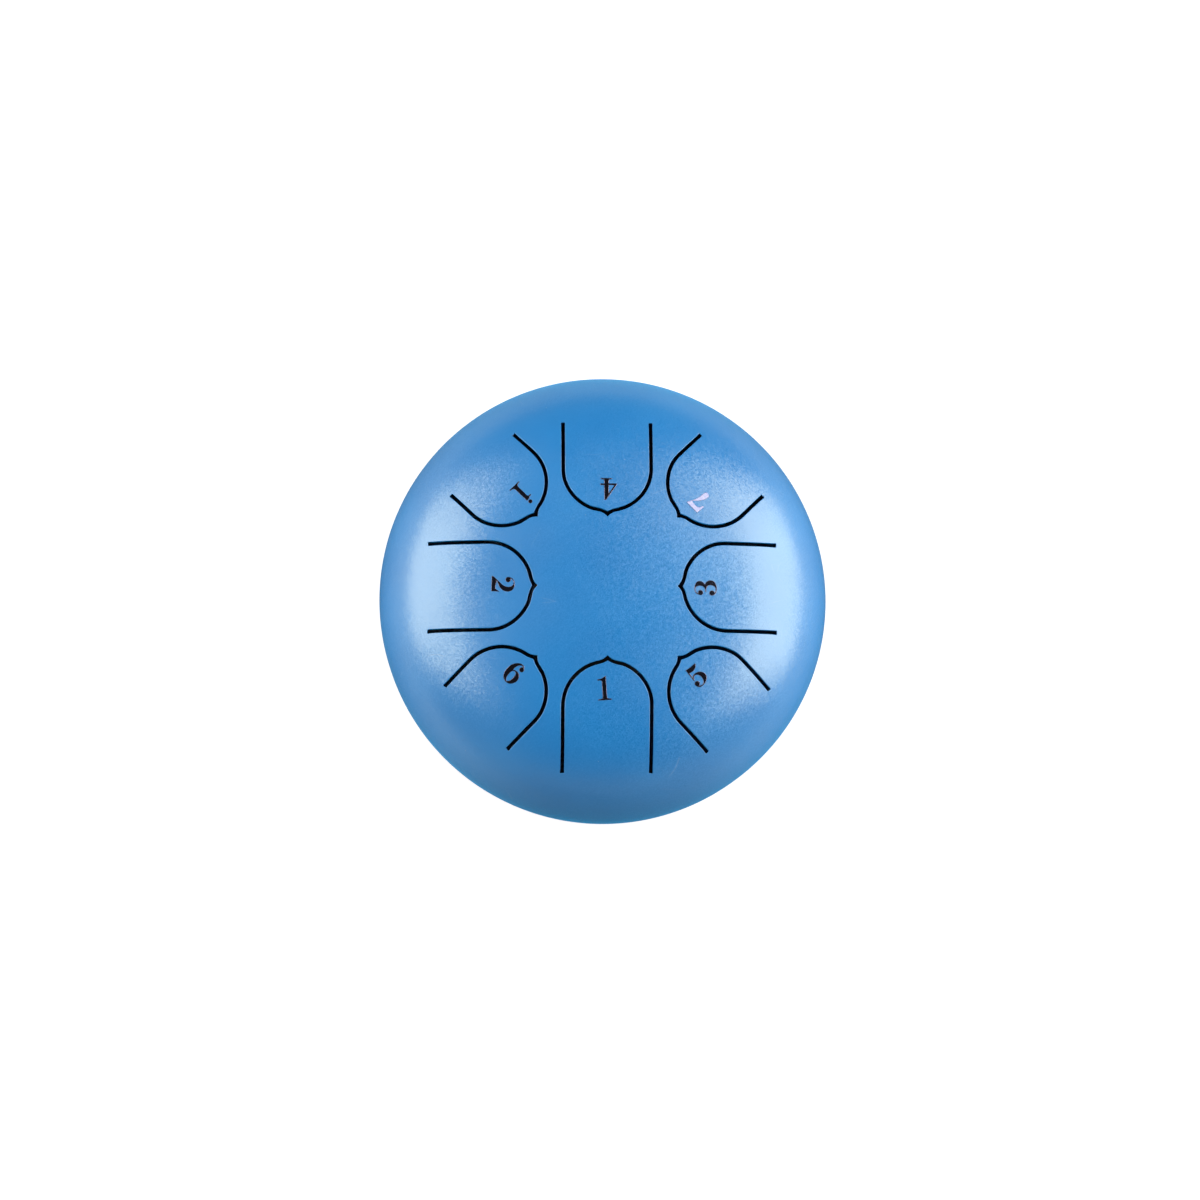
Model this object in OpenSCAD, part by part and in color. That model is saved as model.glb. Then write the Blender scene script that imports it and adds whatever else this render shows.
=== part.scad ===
/* [Shells] */
// Outer diameter of the drum
drum_d = 152; // [146:1:180]
// Radius of the rounded shoulder of each shell
shoulder_r = 32; // [28:0.5:36]
// Height that the crown rises above the shoulder
crown_rise = 4; // [3:0.25:6]
// Height of the straight skirt below the upper shoulder
skirt_h = 2; // [1.5:0.25:4]
// Thickness of the steel sheet
sheet_t = 1.2; // [0.8:0.1:1.6]
// Diameter of the sound hole underneath
sound_hole_d = 50; // [30:1:56]

/* [Seam] */
// Height of the groove between the two shells
groove_h = 0.4; // [0.2:0.05:0.8]
// Depth of that groove
groove_depth = 0.5; // [0.2:0.05:0.8]
// Height of the lower shell's rim inside the upper skirt
rim_h = 3; // [2:0.25:3.5]
// Thickness of the adhesive between the rim and the skirt
glue_t = 0.2; // [0.15:0.05:0.4]

/* [Tongues] */
// Distance of the side tongues' cut tips from the drum's middle
tip_r = 22.9; // [20:0.1:25]
// Width of a tongue between the middles of its two cuts
tongue_w = 29.1; // [25:0.1:31]
// Width of the cut around each tongue
slot_w = 1.15; // [0.8:0.05:1.6]
// Length of tongue 1 from its cut's tip to its root
tongue_1_l = 38; // [34:0.1:40]
// Length of tongue 2
tongue_2_l = 36.1; // [32:0.1:39]
// Length of tongue 3
tongue_3_l = 33.3; // [30:0.1:38]
// Length of tongue 4
tongue_4_l = 32.6; // [29:0.1:38]
// Length of tongue 5
tongue_5_l = 29.3; // [27:0.1:31]
// Length of tongue 6
tongue_6_l = 28.3; // [26:0.1:31]
// Length of tongue 7
tongue_7_l = 26.8; // [24:0.1:31]
// Length of the high tongue 1
tongue_high_1_l = 26; // [23:0.1:31]
// Height of the point on the cut's outer edge
outer_point_h = 1.45; // [0.8:0.05:2]
// Half width of that point
outer_point_w = 2.7; // [2:0.1:4]
// Height of the point on the tongue's own edge
inner_point_h = 0.85; // [0.4:0.05:1.4]
// Half width of that point
inner_point_w = 3; // [2:0.1:4]
// Hairline that parts a tongue from the shell at its root
root_gap = 0.08; // [0.06:0.01:0.12]

/* [Figures] */
// Side of the square that each figure is drawn in
figure_box = 8; // [6:0.1:9]
// Thickness of the figures' film
film_t = 0.12; // [0.08:0.01:0.3]

/* [Magnets] */
// Diameter of a tuning magnet
magnet_d = 8; // [5:0.5:10]
// Thickness of a tuning magnet
magnet_h = 3; // [1.5:0.5:4]
// Distance from a cut's tip to the middle of the magnet
magnet_back = 9; // [8:0.5:12]

/* [Feet] */
// Distance of each foot from the drum's middle
foot_r = 44; // [42:0.5:46]
// Height of the lower shell above the ground
foot_stand = 7; // [6:0.5:12]
// Diameter of a foot where it meets the shell
foot_d = 16; // [13:0.5:20]
// Diameter of a foot at its sole
foot_sole_d = 13; // [11:0.5:18]
// Thickness of rubber between the shell and the screw's head
foot_web = 4; // [2.5:0.25:5]
// Diameter of the screws' shanks
screw_d = 4; // [3:0.5:4.5]
// Diameter of the screws' heads
screw_head_d = 7.4; // [6:0.2:8.4]
// Height of the screws' heads
screw_head_h = 2.4; // [1.6:0.2:3]
// Length of a screw's end beyond its nut
screw_end = 1.2; // [0.5:0.1:3]
// Outer diameter of the washers
washer_d = 9; // [7:0.5:10]
// Thickness of the washers
washer_t = 0.8; // [0.5:0.1:1.2]
// Size of the nuts across their flats
nut_w = 7; // [6.5:0.1:8]
// Height of the nuts
nut_h = 3.2; // [2:0.1:4]

/* [Hidden] */
$fn = 180;

// Radial play around the screws' shanks
screw_play = 0.15;
// Radial play around the screws' heads
head_play = 0.4;
// Paint and glue between a flat piece and the curved sheet
seat_gap = 0.04;
// Number of feet, each with a screw, a washer and a nut
foot_count = 3;
// Crossed recess in a screw's head, as shares of the head's diameter and height
cross_length_share = 0.6;
cross_width_share = 0.14;
cross_depth_share = 0.5;
// How far a cutting shape runs past what it cuts
overrun = 1;
// Straight steps along each side of a cut's point
point_steps = 7;
// Straight steps along each quarter of a cut's round end
arc_steps = 16;
// Steps between two hand-chosen points of a figure's outline
curve_steps = 3;

// The dish that both shells are pressed to
// Its section is measured from the level of the shoulder's middle
outer_r = drum_d / 2;
shoulder_mid_r = outer_r - shoulder_r;
dish_h = shoulder_r + crown_rise;
crown_r = (pow(shoulder_mid_r, 2) + pow(crown_rise, 2)) / (2 * crown_rise) + shoulder_r;
crown_mid_z = dish_h - crown_r;
// Angle from the axis at which the crown turns into the shoulder
crown_angle = asin(shoulder_mid_r / (crown_r - shoulder_r));
crown_edge_r = crown_r * sin(crown_angle);

// Levels above the ground
base_z = foot_stand + dish_h;
base_skirt_h = skirt_h + sheet_t;
step_z = base_z + base_skirt_h;
seam_z = step_z + groove_h;
top_z = seam_z + skirt_h;

// Stepped rim of the lower shell
rim_outer_r = outer_r - sheet_t - glue_t;
rim_inner_r = rim_outer_r - sheet_t;

// Each tongue's direction, and whether it lies on a diagonal
tongue_azimuths = [270, 180, 0, 90, 315, 225, 45, 135];
tongue_lengths = [
    tongue_1_l, tongue_2_l, tongue_3_l, tongue_4_l,
    tongue_5_l, tongue_6_l, tongue_7_l, tongue_high_1_l
];
side_tongues = 4;
outer_half_w = (tongue_w + slot_w) / 2;
inner_half_w = (tongue_w - slot_w) / 2;

// Where each figure is stuck, as shares of the tongue's width
figure_back_shares = [0.505, 0.52, 0.45, 0.45, 0.44, 0.46, 0.457, 0.42];
figure_side_shares = [-0.026, -0.02, -0.017, -0.014, -0.003, -0.046, -0.043, -0.058];
figure_turns = [4, -2, 0, 0, 0, 0, 0, 0];

// Figures, drawn in tenths of their square and upwards from the middle of their foot
// Each list is one outline in smooth runs, which meet at corners
// Each ball is a disc's middle and radius
tenth_share = 0.1;
one_shares = [
    [[-2.75, 0], [2.75, 0]],
    [[2.75, 0], [2.75, 0.45]],
    [[2.75, 0.45], [1.5, 0.6], [0.95, 1], [0.85, 1.8]],
    [[0.85, 1.8], [0.85, 9.7]],
    [[0.85, 9.7], [0.5, 9.7]],
    [[0.5, 9.7], [-0.3, 9.15], [-1.4, 8.7], [-2.6, 8.6]],
    [[-2.6, 8.6], [-2.6, 8.1]],
    [[-2.6, 8.1], [-1.6, 8.1], [-1, 7.95], [-0.85, 7.4]],
    [[-0.85, 7.4], [-0.85, 1.8]],
    [[-0.85, 1.8], [-0.95, 1], [-1.5, 0.6], [-2.75, 0.45]],
    [[-2.75, 0.45], [-2.75, 0]]
];
two_shares = [
    [[-3.25, 0], [3.1, 0]],
    [[3.1, 0], [3.2, 3.3]],
    [[3.2, 3.3], [2.85, 2.9], [2.3, 2], [1.4, 1.6], [0.3, 1.75], [-0.9, 2.05], [-1.95, 1.74]],
    [
        [-1.95, 1.74], [-0.3, 2.55], [1.5, 3.5], [2.7, 4.8], [3.15, 6.5],
        [2.8, 8.1], [1.7, 9.2], [0.1, 9.5], [-1.5, 9.15], [-2.6, 8.2], [-2.8, 6.9]
    ],
    [[-2.8, 6.9], [-2.45, 7.5]],
    [
        [-2.45, 7.5], [-2.1, 8.2], [-1.2, 8.95], [-0.1, 8.95], [0.8, 8.2], [1.15, 6.9],
        [0.85, 5.4], [0, 4.1], [-1.3, 2.7], [-2.5, 1.35], [-3.25, 0.4]
    ],
    [[-3.25, 0.4], [-3.25, 0]]
];
two_ball_shares = [[-1.86, 6.75, 1.1]];
three_shares = [
    [
        [-1.65, 4.75], [-0.6, 4.85], [0.2, 5.3], [0.75, 6.2], [0.8, 7.4],
        [0.35, 8.5], [-0.5, 8.9], [-1.5, 8.7], [-2.25, 8.1], [-2.6, 7.4]
    ],
    [[-2.6, 7.4], [-2.85, 6.9]],
    [
        [-2.85, 6.9], [-2.7, 8], [-1.9, 8.9], [-0.4, 9.25], [1.3, 9],
        [2.5, 8.2], [2.85, 7], [2.4, 5.8], [1.5, 4.95]
    ],
    [
        [1.5, 4.95], [2.5, 4.3], [3.15, 3.1], [3.1, 1.8], [2.3, 0.7],
        [0.9, 0.1], [-0.7, 0], [-2.2, 0.45], [-3, 1.4], [-3, 2.1]
    ],
    [[-3, 2.1], [-2.65, 1.5]],
    [
        [-2.65, 1.5], [-2, 0.85], [-1, 0.45], [0.1, 0.6], [0.85, 1.4],
        [1.15, 2.6], [0.85, 3.7], [0, 4.25], [-0.8, 4.4], [-1.65, 4.4]
    ],
    [[-1.65, 4.4], [-1.65, 4.75]]
];
three_ball_shares = [[-2, 6.75, 1.05], [-2.1, 2, 1.1]];
four_shares = [
    [[-1.35, 0], [3.25, 0]],
    [[3.25, 0], [3.25, 0.5]],
    [[3.25, 0.5], [2.4, 0.6], [1.9, 0.9], [1.8, 1.4]],
    [[1.8, 1.4], [1.8, 2.3]],
    [[1.8, 2.3], [3.45, 2.3]],
    [[3.45, 2.3], [3.45, 3.05]],
    [[3.45, 3.05], [1.8, 3.05]],
    [[1.8, 3.05], [1.8, 9.4]],
    [[1.8, 9.4], [1.1, 9.4]],
    [[1.1, 9.4], [-3.45, 2.75]],
    [[-3.45, 2.75], [-3.45, 2.3]],
    [[-3.45, 2.3], [0, 2.3]],
    [[0, 2.3], [0, 1.4]],
    [[0, 1.4], [-0.1, 0.9], [-0.6, 0.6], [-1.35, 0.5]],
    [[-1.35, 0.5], [-1.35, 0]]
];
four_hole_shares = [
    [[-2.4, 3.05], [0, 3.05]],
    [[0, 3.05], [0, 6.6]],
    [[0, 6.6], [-2.4, 3.05]]
];
five_shares = [
    [[-1.75, 9.35], [-0.4, 9.05], [1.4, 8.85], [3.2, 8.75]],
    [[3.2, 8.75], [2.7, 7.9], [1.7, 7.2], [0.3, 6.95], [-1.45, 7.35]],
    [[-1.45, 7.35], [-1.75, 5.15]],
    [
        [-1.75, 5.15], [-1, 5.75], [0.2, 5.8], [1.8, 5.2], [2.85, 4], [3.1, 2.5],
        [2.55, 1.2], [1.2, 0.3], [-0.5, 0], [-2, 0.3], [-2.9, 1.2], [-2.95, 2.1]
    ],
    [[-2.95, 2.1], [-2.6, 1.5]],
    [
        [-2.6, 1.5], [-1.7, 0.75], [-0.7, 0.4], [0.3, 0.8], [0.95, 2],
        [1.05, 3.3], [0.65, 4.5], [-0.2, 5.2], [-1.1, 5], [-1.75, 4.4]
    ],
    [[-1.75, 4.4], [-1.85, 3.85]],
    [[-1.85, 3.85], [-2.35, 3.85]],
    [[-2.35, 3.85], [-1.75, 9.35]]
];
five_ball_shares = [[-2.05, 2.15, 1.1]];
six_shares = [
    [
        [1.9, 8.6], [1.3, 9.4], [0.3, 9.65], [-1.1, 9.2], [-2.3, 8], [-3.1, 6.3],
        [-3.3, 4.5], [-3, 2.5], [-2.1, 0.9], [-0.6, 0.05], [1.1, 0.1], [2.5, 1.1],
        [3.25, 2.8], [3.1, 4.4], [2.3, 5.6], [1, 6.1], [-0.3, 5.9], [-1.05, 5.5]
    ],
    [[-1.05, 5.5], [-1.15, 6.6], [-0.8, 7.9], [-0.1, 8.8], [0.7, 9.15], [1.4, 8.75]],
    [[1.4, 8.75], [1.9, 8.6]]
];
six_ball_shares = [[1.4, 7.95, 1]];
six_hole_shares = [
    [
        [0, 5.6], [0.85, 4.9], [1.2, 3.3], [1, 1.5], [0.25, 0.45],
        [-0.65, 1.1], [-1.15, 3], [-0.95, 4.9], [0, 5.6]
    ]
];
seven_shares = [
    [[-2.85, 9.1], [3.2, 9.05]],
    [[3.2, 9.05], [3.15, 8.5]],
    [
        [3.15, 8.5], [2.4, 7.1], [1.6, 5.3], [1.15, 3.5], [0.95, 1.4], [0.75, 0.45], [0.2, 0.05],
        [-0.6, 0.05], [-1.25, 0.5], [-1.4, 1.5], [-0.9, 3.2], [0.4, 5.2], [2.1, 7]
    ],
    [[2.1, 7], [1, 7.3], [-0.6, 7.3], [-1.7, 7], [-2.2, 6.2], [-2.4, 5.35]],
    [[-2.4, 5.35], [-3.1, 5.35]],
    [[-3.1, 5.35], [-2.85, 9.1]]
];

high_one_shares = [
    [[-2.6, 0], [2.6, 0]],
    [[2.6, 0], [2.6, 0.45]],
    [[2.6, 0.45], [1.5, 0.6], [1, 1], [0.9, 1.8]],
    [[0.9, 1.8], [0.9, 8]],
    [[0.9, 8], [-0.9, 8]],
    [[-0.9, 8], [-0.9, 7.5]],
    [[-0.9, 7.5], [-2.3, 7.35]],
    [[-2.3, 7.35], [-2.3, 6.85]],
    [[-2.3, 6.85], [-1.5, 6.85], [-1.05, 6.7], [-0.9, 6.3]],
    [[-0.9, 6.3], [-0.9, 1.8]],
    [[-0.9, 1.8], [-1, 1], [-1.5, 0.6], [-2.6, 0.45]],
    [[-2.6, 0.45], [-2.6, 0]]
];
high_one_ball_shares = [[-0.15, 8.75, 0.9]];

// Angle between the axis and the dish's normal at a distance from the axis
function dish_angle(r) =
    r < crown_edge_r ? asin(r / crown_r) : asin((r - shoulder_mid_r) / shoulder_r);

// Height of the dish's outer face there
function dish_height(r) =
    r < crown_edge_r
    ? crown_mid_z + crown_r * cos(dish_angle(r))
    : shoulder_r * cos(dish_angle(r));

// Depth of the hollow that a flat disc spans inside the sheet, at a distance from the axis
function span_depth(r, d) =
    let (inner_face_r = (r + d / 2 < crown_edge_r ? crown_r : shoulder_r) - sheet_t)
        inner_face_r - sqrt(pow(inner_face_r, 2) - pow(d / 2, 2));

// Distance of a tongue's cut tip and of its root from the drum's middle
function cut_tip_r(i) = i < side_tongues ? tip_r : tip_r * sqrt(2);
function root_r(i) = cut_tip_r(i) + tongue_lengths[i];
function arc_mid_r(i) = cut_tip_r(i) + outer_point_h + outer_half_w;

// A smooth curve through four neighbouring points, at a share of its middle span
function curve_point(a, b, c, d, t) =
    ((2 * b) + (c - a) * t + (2 * a - 5 * b + 4 * c - d) * t * t
    + (3 * b - a - 3 * c + d) * t * t * t) / 2;
function run_points(run) =
    len(run) == 2
    ? [run[0]]
    : [
        for (i = [0:len(run) - 2])
            for (k = [0:curve_steps - 1])
                curve_point(
                    run[max(i - 1, 0)], run[i], run[i + 1],
                    run[min(i + 2, len(run) - 1)], k / curve_steps
                )
    ];
function outline_points(runs) = [
    for (run = runs)
        for (p = run_points(run))
            p * tenth_share * figure_box
];

// The same points in anticlockwise order
function anticlockwise(points) =
    let (
        last = len(points) - 1,
        turns = [for (i = [0:last]) cross(points[i], points[i == last ? 0 : i + 1])],
        area = turns * [for (turn = turns) 1]
    )
    area > 0 ? points : [for (i = [0:last]) points[last - i]];

// Plan of a tongue or of its whole cut, from its point to its root along +X
function tongue_plan(mid_r, half_w, h, w, root) =
    let (turn = 90 - asin(w / half_w))
        concat(
            [[root, -half_w], [root, half_w]],
            [
                for (k = [0:arc_steps - 1])
                    let (a = 90 + turn * k / arc_steps)
                        [mid_r + half_w * cos(a), half_w * sin(a)]
            ],
            [
                for (k = [-point_steps:point_steps])
                    let (y = -w * k / point_steps)
                        [mid_r - sqrt(pow(half_w, 2) - pow(y, 2)) - h * pow(1 - abs(y) / w, 2), y]
            ],
            [
                for (k = [1:arc_steps])
                    let (a = 270 - turn + turn * k / arc_steps)
                        [mid_r + half_w * cos(a), half_w * sin(a)]
            ]
        );

// Section of all that lies within a distance outside the dish's outer face
module dish_section(away, depth) {
    reach = crown_r + away + overrun;
    translate([0, crown_mid_z])
        intersection() {
            circle(crown_r + away);
            polygon([[0, 0], [reach * tan(crown_angle), reach], [-reach * tan(crown_angle), reach]]);
        }
    translate([shoulder_mid_r, 0])
        circle(shoulder_r + away);
    translate([-outer_r - away, -depth - overrun])
        square([2 * (outer_r + away), depth + overrun]);
}

// Section of a layer that follows the dish, between two distances from its outer face
module layer_section(inner, outer, depth) {
    intersection() {
        difference() {
            dish_section(outer, depth);
            dish_section(inner, depth + overrun);
        }
        translate([0, -depth])
            square([outer_r + outer + overrun, depth + dish_h + outer + overrun]);
    }
}

module cut_plan(i) {
    rotate(tongue_azimuths[i])
        polygon(tongue_plan(
            arc_mid_r(i), outer_half_w, outer_point_h, outer_point_w, root_r(i)
        ));
}

module blade_plan(i) {
    rotate(tongue_azimuths[i])
        polygon(tongue_plan(
            arc_mid_r(i), inner_half_w, inner_point_h, inner_point_w, root_r(i) - root_gap
        ));
}

// A place on the dish's outer face, with +Z along its normal
module on_dish(r, azimuth) {
    rotate([0, 0, azimuth])
        translate([r, 0, dish_height(r)])
            rotate([0, dish_angle(r), 0])
                children();
}

module upper_dish() {
    translate([0, 0, top_z])
        children();
}

module lower_dish() {
    translate([0, 0, base_z])
        rotate([180, 0, 0])
            children();
}

module top_shell() {
    color("steelblue")
        upper_dish()
            difference() {
                rotate_extrude()
                    layer_section(-sheet_t, 0, skirt_h);
                for (i = [0:len(tongue_lengths) - 1])
                    linear_extrude(dish_h + overrun)
                        cut_plan(i);
            }
}

module tongue(i) {
    color("steelblue")
        upper_dish()
            intersection() {
                rotate_extrude()
                    layer_section(-sheet_t, 0, skirt_h);
                linear_extrude(dish_h + overrun)
                    blade_plan(i);
            }
}

// Section of the lower shell, whose stepped rim lies beyond its skirt
module lower_section() {
    rim_end = base_skirt_h + groove_h + rim_h;
    web_r = outer_r - sheet_t / 2;
    layer_section(-sheet_t, 0, base_skirt_h);
    polygon([
        [rim_inner_r, -rim_end],
        [rim_outer_r, -rim_end],
        [rim_outer_r, -base_skirt_h],
        [web_r, -base_skirt_h],
        [web_r, -skirt_h],
        [rim_inner_r, -skirt_h]
    ]);
}

// Lower shell with its sound hole and its screw holes
module bottom_shell() {
    hole_r = screw_d / 2 + screw_play;
    color("steelblue")
        difference() {
            lower_dish()
                rotate_extrude()
                    lower_section();
            cylinder(h = base_z, r = sound_hole_d / 2);
            for (k = [0:foot_count - 1])
                at_foot(k)
                    translate([0, 0, -sheet_t - overrun])
                        cylinder(h = sheet_t + 2 * overrun, r = hole_r);
        }
}

// Ring of adhesive between the rim and the upper skirt, with its foot in the seam
module seam_adhesive() {
    leg_h = min(rim_h, skirt_h);
    color("dimgray")
        rotate_extrude()
            polygon([
                [rim_outer_r, step_z],
                [outer_r - groove_depth, step_z],
                [outer_r - groove_depth, seam_z],
                [outer_r - sheet_t, seam_z],
                [outer_r - sheet_t, seam_z + leg_h],
                [rim_outer_r, seam_z + leg_h]
            ]);
}

// Flat shape of each figure, upright on the X axis
module figure_shape(runs, balls = [], holes = []) {
    difference() {
        union() {
            polygon(anticlockwise(outline_points(runs)));
            for (ball = balls)
                translate([ball[0], ball[1]] * tenth_share * figure_box)
                    circle(ball[2] * tenth_share * figure_box);
        }
        for (hole = holes)
            polygon(anticlockwise(outline_points(hole)));
    }
}

module figure_plan(i) {
    if (i == 0)
        figure_shape(one_shares);
    if (i == 1)
        figure_shape(two_shares, two_ball_shares);
    if (i == 2)
        figure_shape(three_shares, three_ball_shares);
    if (i == 3)
        figure_shape(four_shares, [], [four_hole_shares]);
    if (i == 4)
        figure_shape(five_shares, five_ball_shares);
    if (i == 5)
        figure_shape(six_shares, six_ball_shares, [six_hole_shares]);
    if (i == 6)
        figure_shape(seven_shares);
    if (i == 7)
        figure_shape(high_one_shares, high_one_ball_shares);
}

// A figure of film on the face of its tongue, with its top towards the drum's middle
module number(i) {
    foot_of_figure = cut_tip_r(i) + figure_back_shares[i] * tongue_w;
    color("black")
        upper_dish()
            intersection() {
                rotate_extrude()
                    layer_section(0, film_t, 0);
                linear_extrude(dish_h + overrun)
                    rotate(tongue_azimuths[i])
                        translate([foot_of_figure, figure_side_shares[i] * tongue_w])
                            rotate(90 + figure_turns[i])
                                figure_plan(i);
            }
}

// A tuning magnet glued under its tongue
module magnet(i) {
    away = cut_tip_r(i) + magnet_back;
    seat = sheet_t + span_depth(away, magnet_d) + seat_gap;
    color("silver")
        upper_dish()
            on_dish(away, tongue_azimuths[i])
                translate([0, 0, -seat - magnet_h])
                    cylinder(h = magnet_h, r = magnet_d / 2);
}

function foot_azimuth(k) = 90 + k * 360 / foot_count;

// A place under the lower shell where a foot stands, with +Z down along its screw
module at_foot(k) {
    lower_dish()
        on_dish(foot_r, foot_azimuth(k))
            children();
}

// Distance along a foot's screw from the shell to the ground
foot_l = (foot_stand + dish_h - dish_height(foot_r)) / cos(dish_angle(foot_r));
// What the slanted sole adds to that at the edge of the foot
sole_slant = foot_d / 2 * tan(dish_angle(foot_r));
washer_seat = sheet_t + span_depth(foot_r, washer_d) + seat_gap;

// A rubber foot, moulded to the shell above and cut level at the ground
module foot(k) {
    color("black")
        difference() {
            intersection() {
                at_foot(k)
                    translate([0, 0, -sheet_t / 2])
                        cylinder(
                            h = foot_l + sole_slant + sheet_t / 2,
                            r1 = foot_d / 2,
                            r2 = foot_sole_d / 2
                        );
                translate([-outer_r, -outer_r, 0])
                    cube([drum_d, drum_d, base_z]);
            }
            lower_dish()
                rotate_extrude()
                    layer_section(-sheet_t, 0, skirt_h);
            at_foot(k) {
                translate([0, 0, -overrun])
                    cylinder(h = foot_web + 2 * overrun, r = screw_d / 2 + screw_play);
                translate([0, 0, foot_web])
                    cylinder(h = foot_l + sole_slant, r = screw_head_d / 2 + head_play);
            }
        }
}

// A pan-head screw with a crossed recess, driven from under the foot
module foot_screw(k) {
    shank_l = foot_web + washer_seat + washer_t + nut_h + screw_end;
    cross_l = cross_length_share * screw_head_d;
    cross_w = cross_width_share * screw_head_d;
    cross_depth = cross_depth_share * screw_head_h;
    color("silver")
        at_foot(k)
            difference() {
                union() {
                    translate([0, 0, foot_web - shank_l])
                        cylinder(h = shank_l + screw_head_h / 2, r = screw_d / 2);
                    translate([0, 0, foot_web])
                        cylinder(h = screw_head_h, r = screw_head_d / 2);
                }
                for (turn = [0, 90])
                    rotate([0, 0, turn])
                        translate([-cross_l / 2, -cross_w / 2, foot_web + screw_head_h - cross_depth])
                            cube([cross_l, cross_w, cross_depth + overrun]);
            }
}

module foot_washer(k) {
    color("silver")
        at_foot(k)
            translate([0, 0, -washer_seat - washer_t])
                difference() {
                    cylinder(h = washer_t, r = washer_d / 2);
                    translate([0, 0, -overrun])
                        cylinder(h = washer_t + 2 * overrun, r = screw_d / 2 + screw_play);
                }
}

module foot_nut(k) {
    color("silver")
        at_foot(k)
            translate([0, 0, -washer_seat - washer_t - nut_h])
                difference() {
                    cylinder(h = nut_h, r = nut_w / 2 / cos(30), $fn = 6);
                    translate([0, 0, -overrun])
                        cylinder(h = nut_h + 2 * overrun, r = screw_d / 2 + screw_play / 2);
                }
}

top_shell();
bottom_shell();
seam_adhesive();
tongue(0);  // tongue_1
tongue(1);  // tongue_2
tongue(2);  // tongue_3
tongue(3);  // tongue_4
tongue(4);  // tongue_5
tongue(5);  // tongue_6
tongue(6);  // tongue_7
tongue(7);  // tongue_high_1
number(0);  // number_1
number(1);  // number_2
number(2);  // number_3
number(3);  // number_4
number(4);  // number_5
number(5);  // number_6
number(6);  // number_7
number(7);  // number_high_1
magnet(0);  // magnet_1
magnet(1);  // magnet_2
magnet(2);  // magnet_3
magnet(3);  // magnet_4
magnet(4);  // magnet_5
magnet(5);  // magnet_6
magnet(6);  // magnet_7
magnet(7);  // magnet_high_1
foot(0);  // foot_1
foot(1);  // foot_2
foot(2);  // foot_3
foot_screw(0);  // foot_screw_1
foot_screw(1);  // foot_screw_2
foot_screw(2);  // foot_screw_3
foot_washer(0);  // foot_washer_1
foot_washer(1);  // foot_washer_2
foot_washer(2);  // foot_washer_3
foot_nut(0);  // foot_nut_1
foot_nut(1);  // foot_nut_2
foot_nut(2);  // foot_nut_3
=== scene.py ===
"""Steel tongue drum: the finished look of every piece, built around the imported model.

Lengths are in metres, +Z is up and the drum stands on the level z = 0.
A plan is a view straight down, and a dish is the pressed section that both shells share.
"""

from __future__ import annotations

import logging
from collections.abc import Callable, Sequence
from dataclasses import dataclass, field
from enum import Enum
from typing import Any

import bpy
import numpy as np
from mathutils import Matrix, Vector

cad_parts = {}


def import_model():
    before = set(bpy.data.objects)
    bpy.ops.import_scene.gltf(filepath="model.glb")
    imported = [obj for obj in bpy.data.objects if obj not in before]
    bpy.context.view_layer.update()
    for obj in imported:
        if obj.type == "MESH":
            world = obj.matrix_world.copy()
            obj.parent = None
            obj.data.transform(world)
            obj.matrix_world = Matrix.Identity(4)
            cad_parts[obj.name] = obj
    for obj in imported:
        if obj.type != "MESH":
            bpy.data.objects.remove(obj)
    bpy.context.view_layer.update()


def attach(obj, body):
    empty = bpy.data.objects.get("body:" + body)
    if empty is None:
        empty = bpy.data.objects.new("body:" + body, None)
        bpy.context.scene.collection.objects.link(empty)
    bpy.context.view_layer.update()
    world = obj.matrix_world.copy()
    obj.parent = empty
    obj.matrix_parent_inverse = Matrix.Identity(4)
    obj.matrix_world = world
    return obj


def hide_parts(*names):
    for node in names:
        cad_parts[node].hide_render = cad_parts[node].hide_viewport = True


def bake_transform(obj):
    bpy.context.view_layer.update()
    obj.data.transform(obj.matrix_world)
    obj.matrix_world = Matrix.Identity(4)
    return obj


MM = 0.001
MERGE_GRID = 2e-7
LOG = logging.getLogger("tongue_drum")


class Facing(Enum):
    """Which way a shell's dish bulges."""

    UP = 1.0
    DOWN = -1.0


class Layer(Enum):
    """One of the two faces of the steel sheet."""

    OUTER = 0
    INNER = 1


def unit(vectors: np.ndarray) -> np.ndarray:
    """Vectors of length one along the last axis."""
    return vectors / np.maximum(np.linalg.norm(vectors, axis=-1, keepdims=True), 1e-12)


def polar(radius: np.ndarray, angle: np.ndarray) -> np.ndarray:
    """Plan points at a radius and an angle in radians."""
    return np.stack([radius * np.cos(angle), radius * np.sin(angle)], axis=-1)


def spun(radius: Any, angle: np.ndarray, height: Any) -> np.ndarray:
    """Points about the Z axis: one at r, a and z goes to (r cos a, r sin a, z).

    Args:
        radius: Distances from the axis.
        angle: Angles in radians, in a shape that spreads over the distances.
        height: Heights, in such a shape too.

    Returns:
        The points, with x, y and z on the last axis.
    """
    parts = np.broadcast_arrays(radius * np.cos(angle), radius * np.sin(angle), height)
    return np.stack(parts, axis=-1)


def full_turn(steps: int) -> np.ndarray:
    """Angles of a whole turn in equal steps, with the start again at the end."""
    return np.linspace(0.0, 2 * np.pi, steps + 1)


def turned_plan(plan: np.ndarray, angle: float) -> np.ndarray:
    """Plan points turned about the drum's middle by an angle in radians."""
    c, s = np.cos(angle), np.sin(angle)
    return plan @ np.array([[c, s], [-s, c]])


def between(start: np.ndarray, end: np.ndarray, shares: np.ndarray) -> np.ndarray:
    """Points on the straight line from start to end at the given shares of it."""
    return start + shares[:, None] * (end - start)


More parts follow.
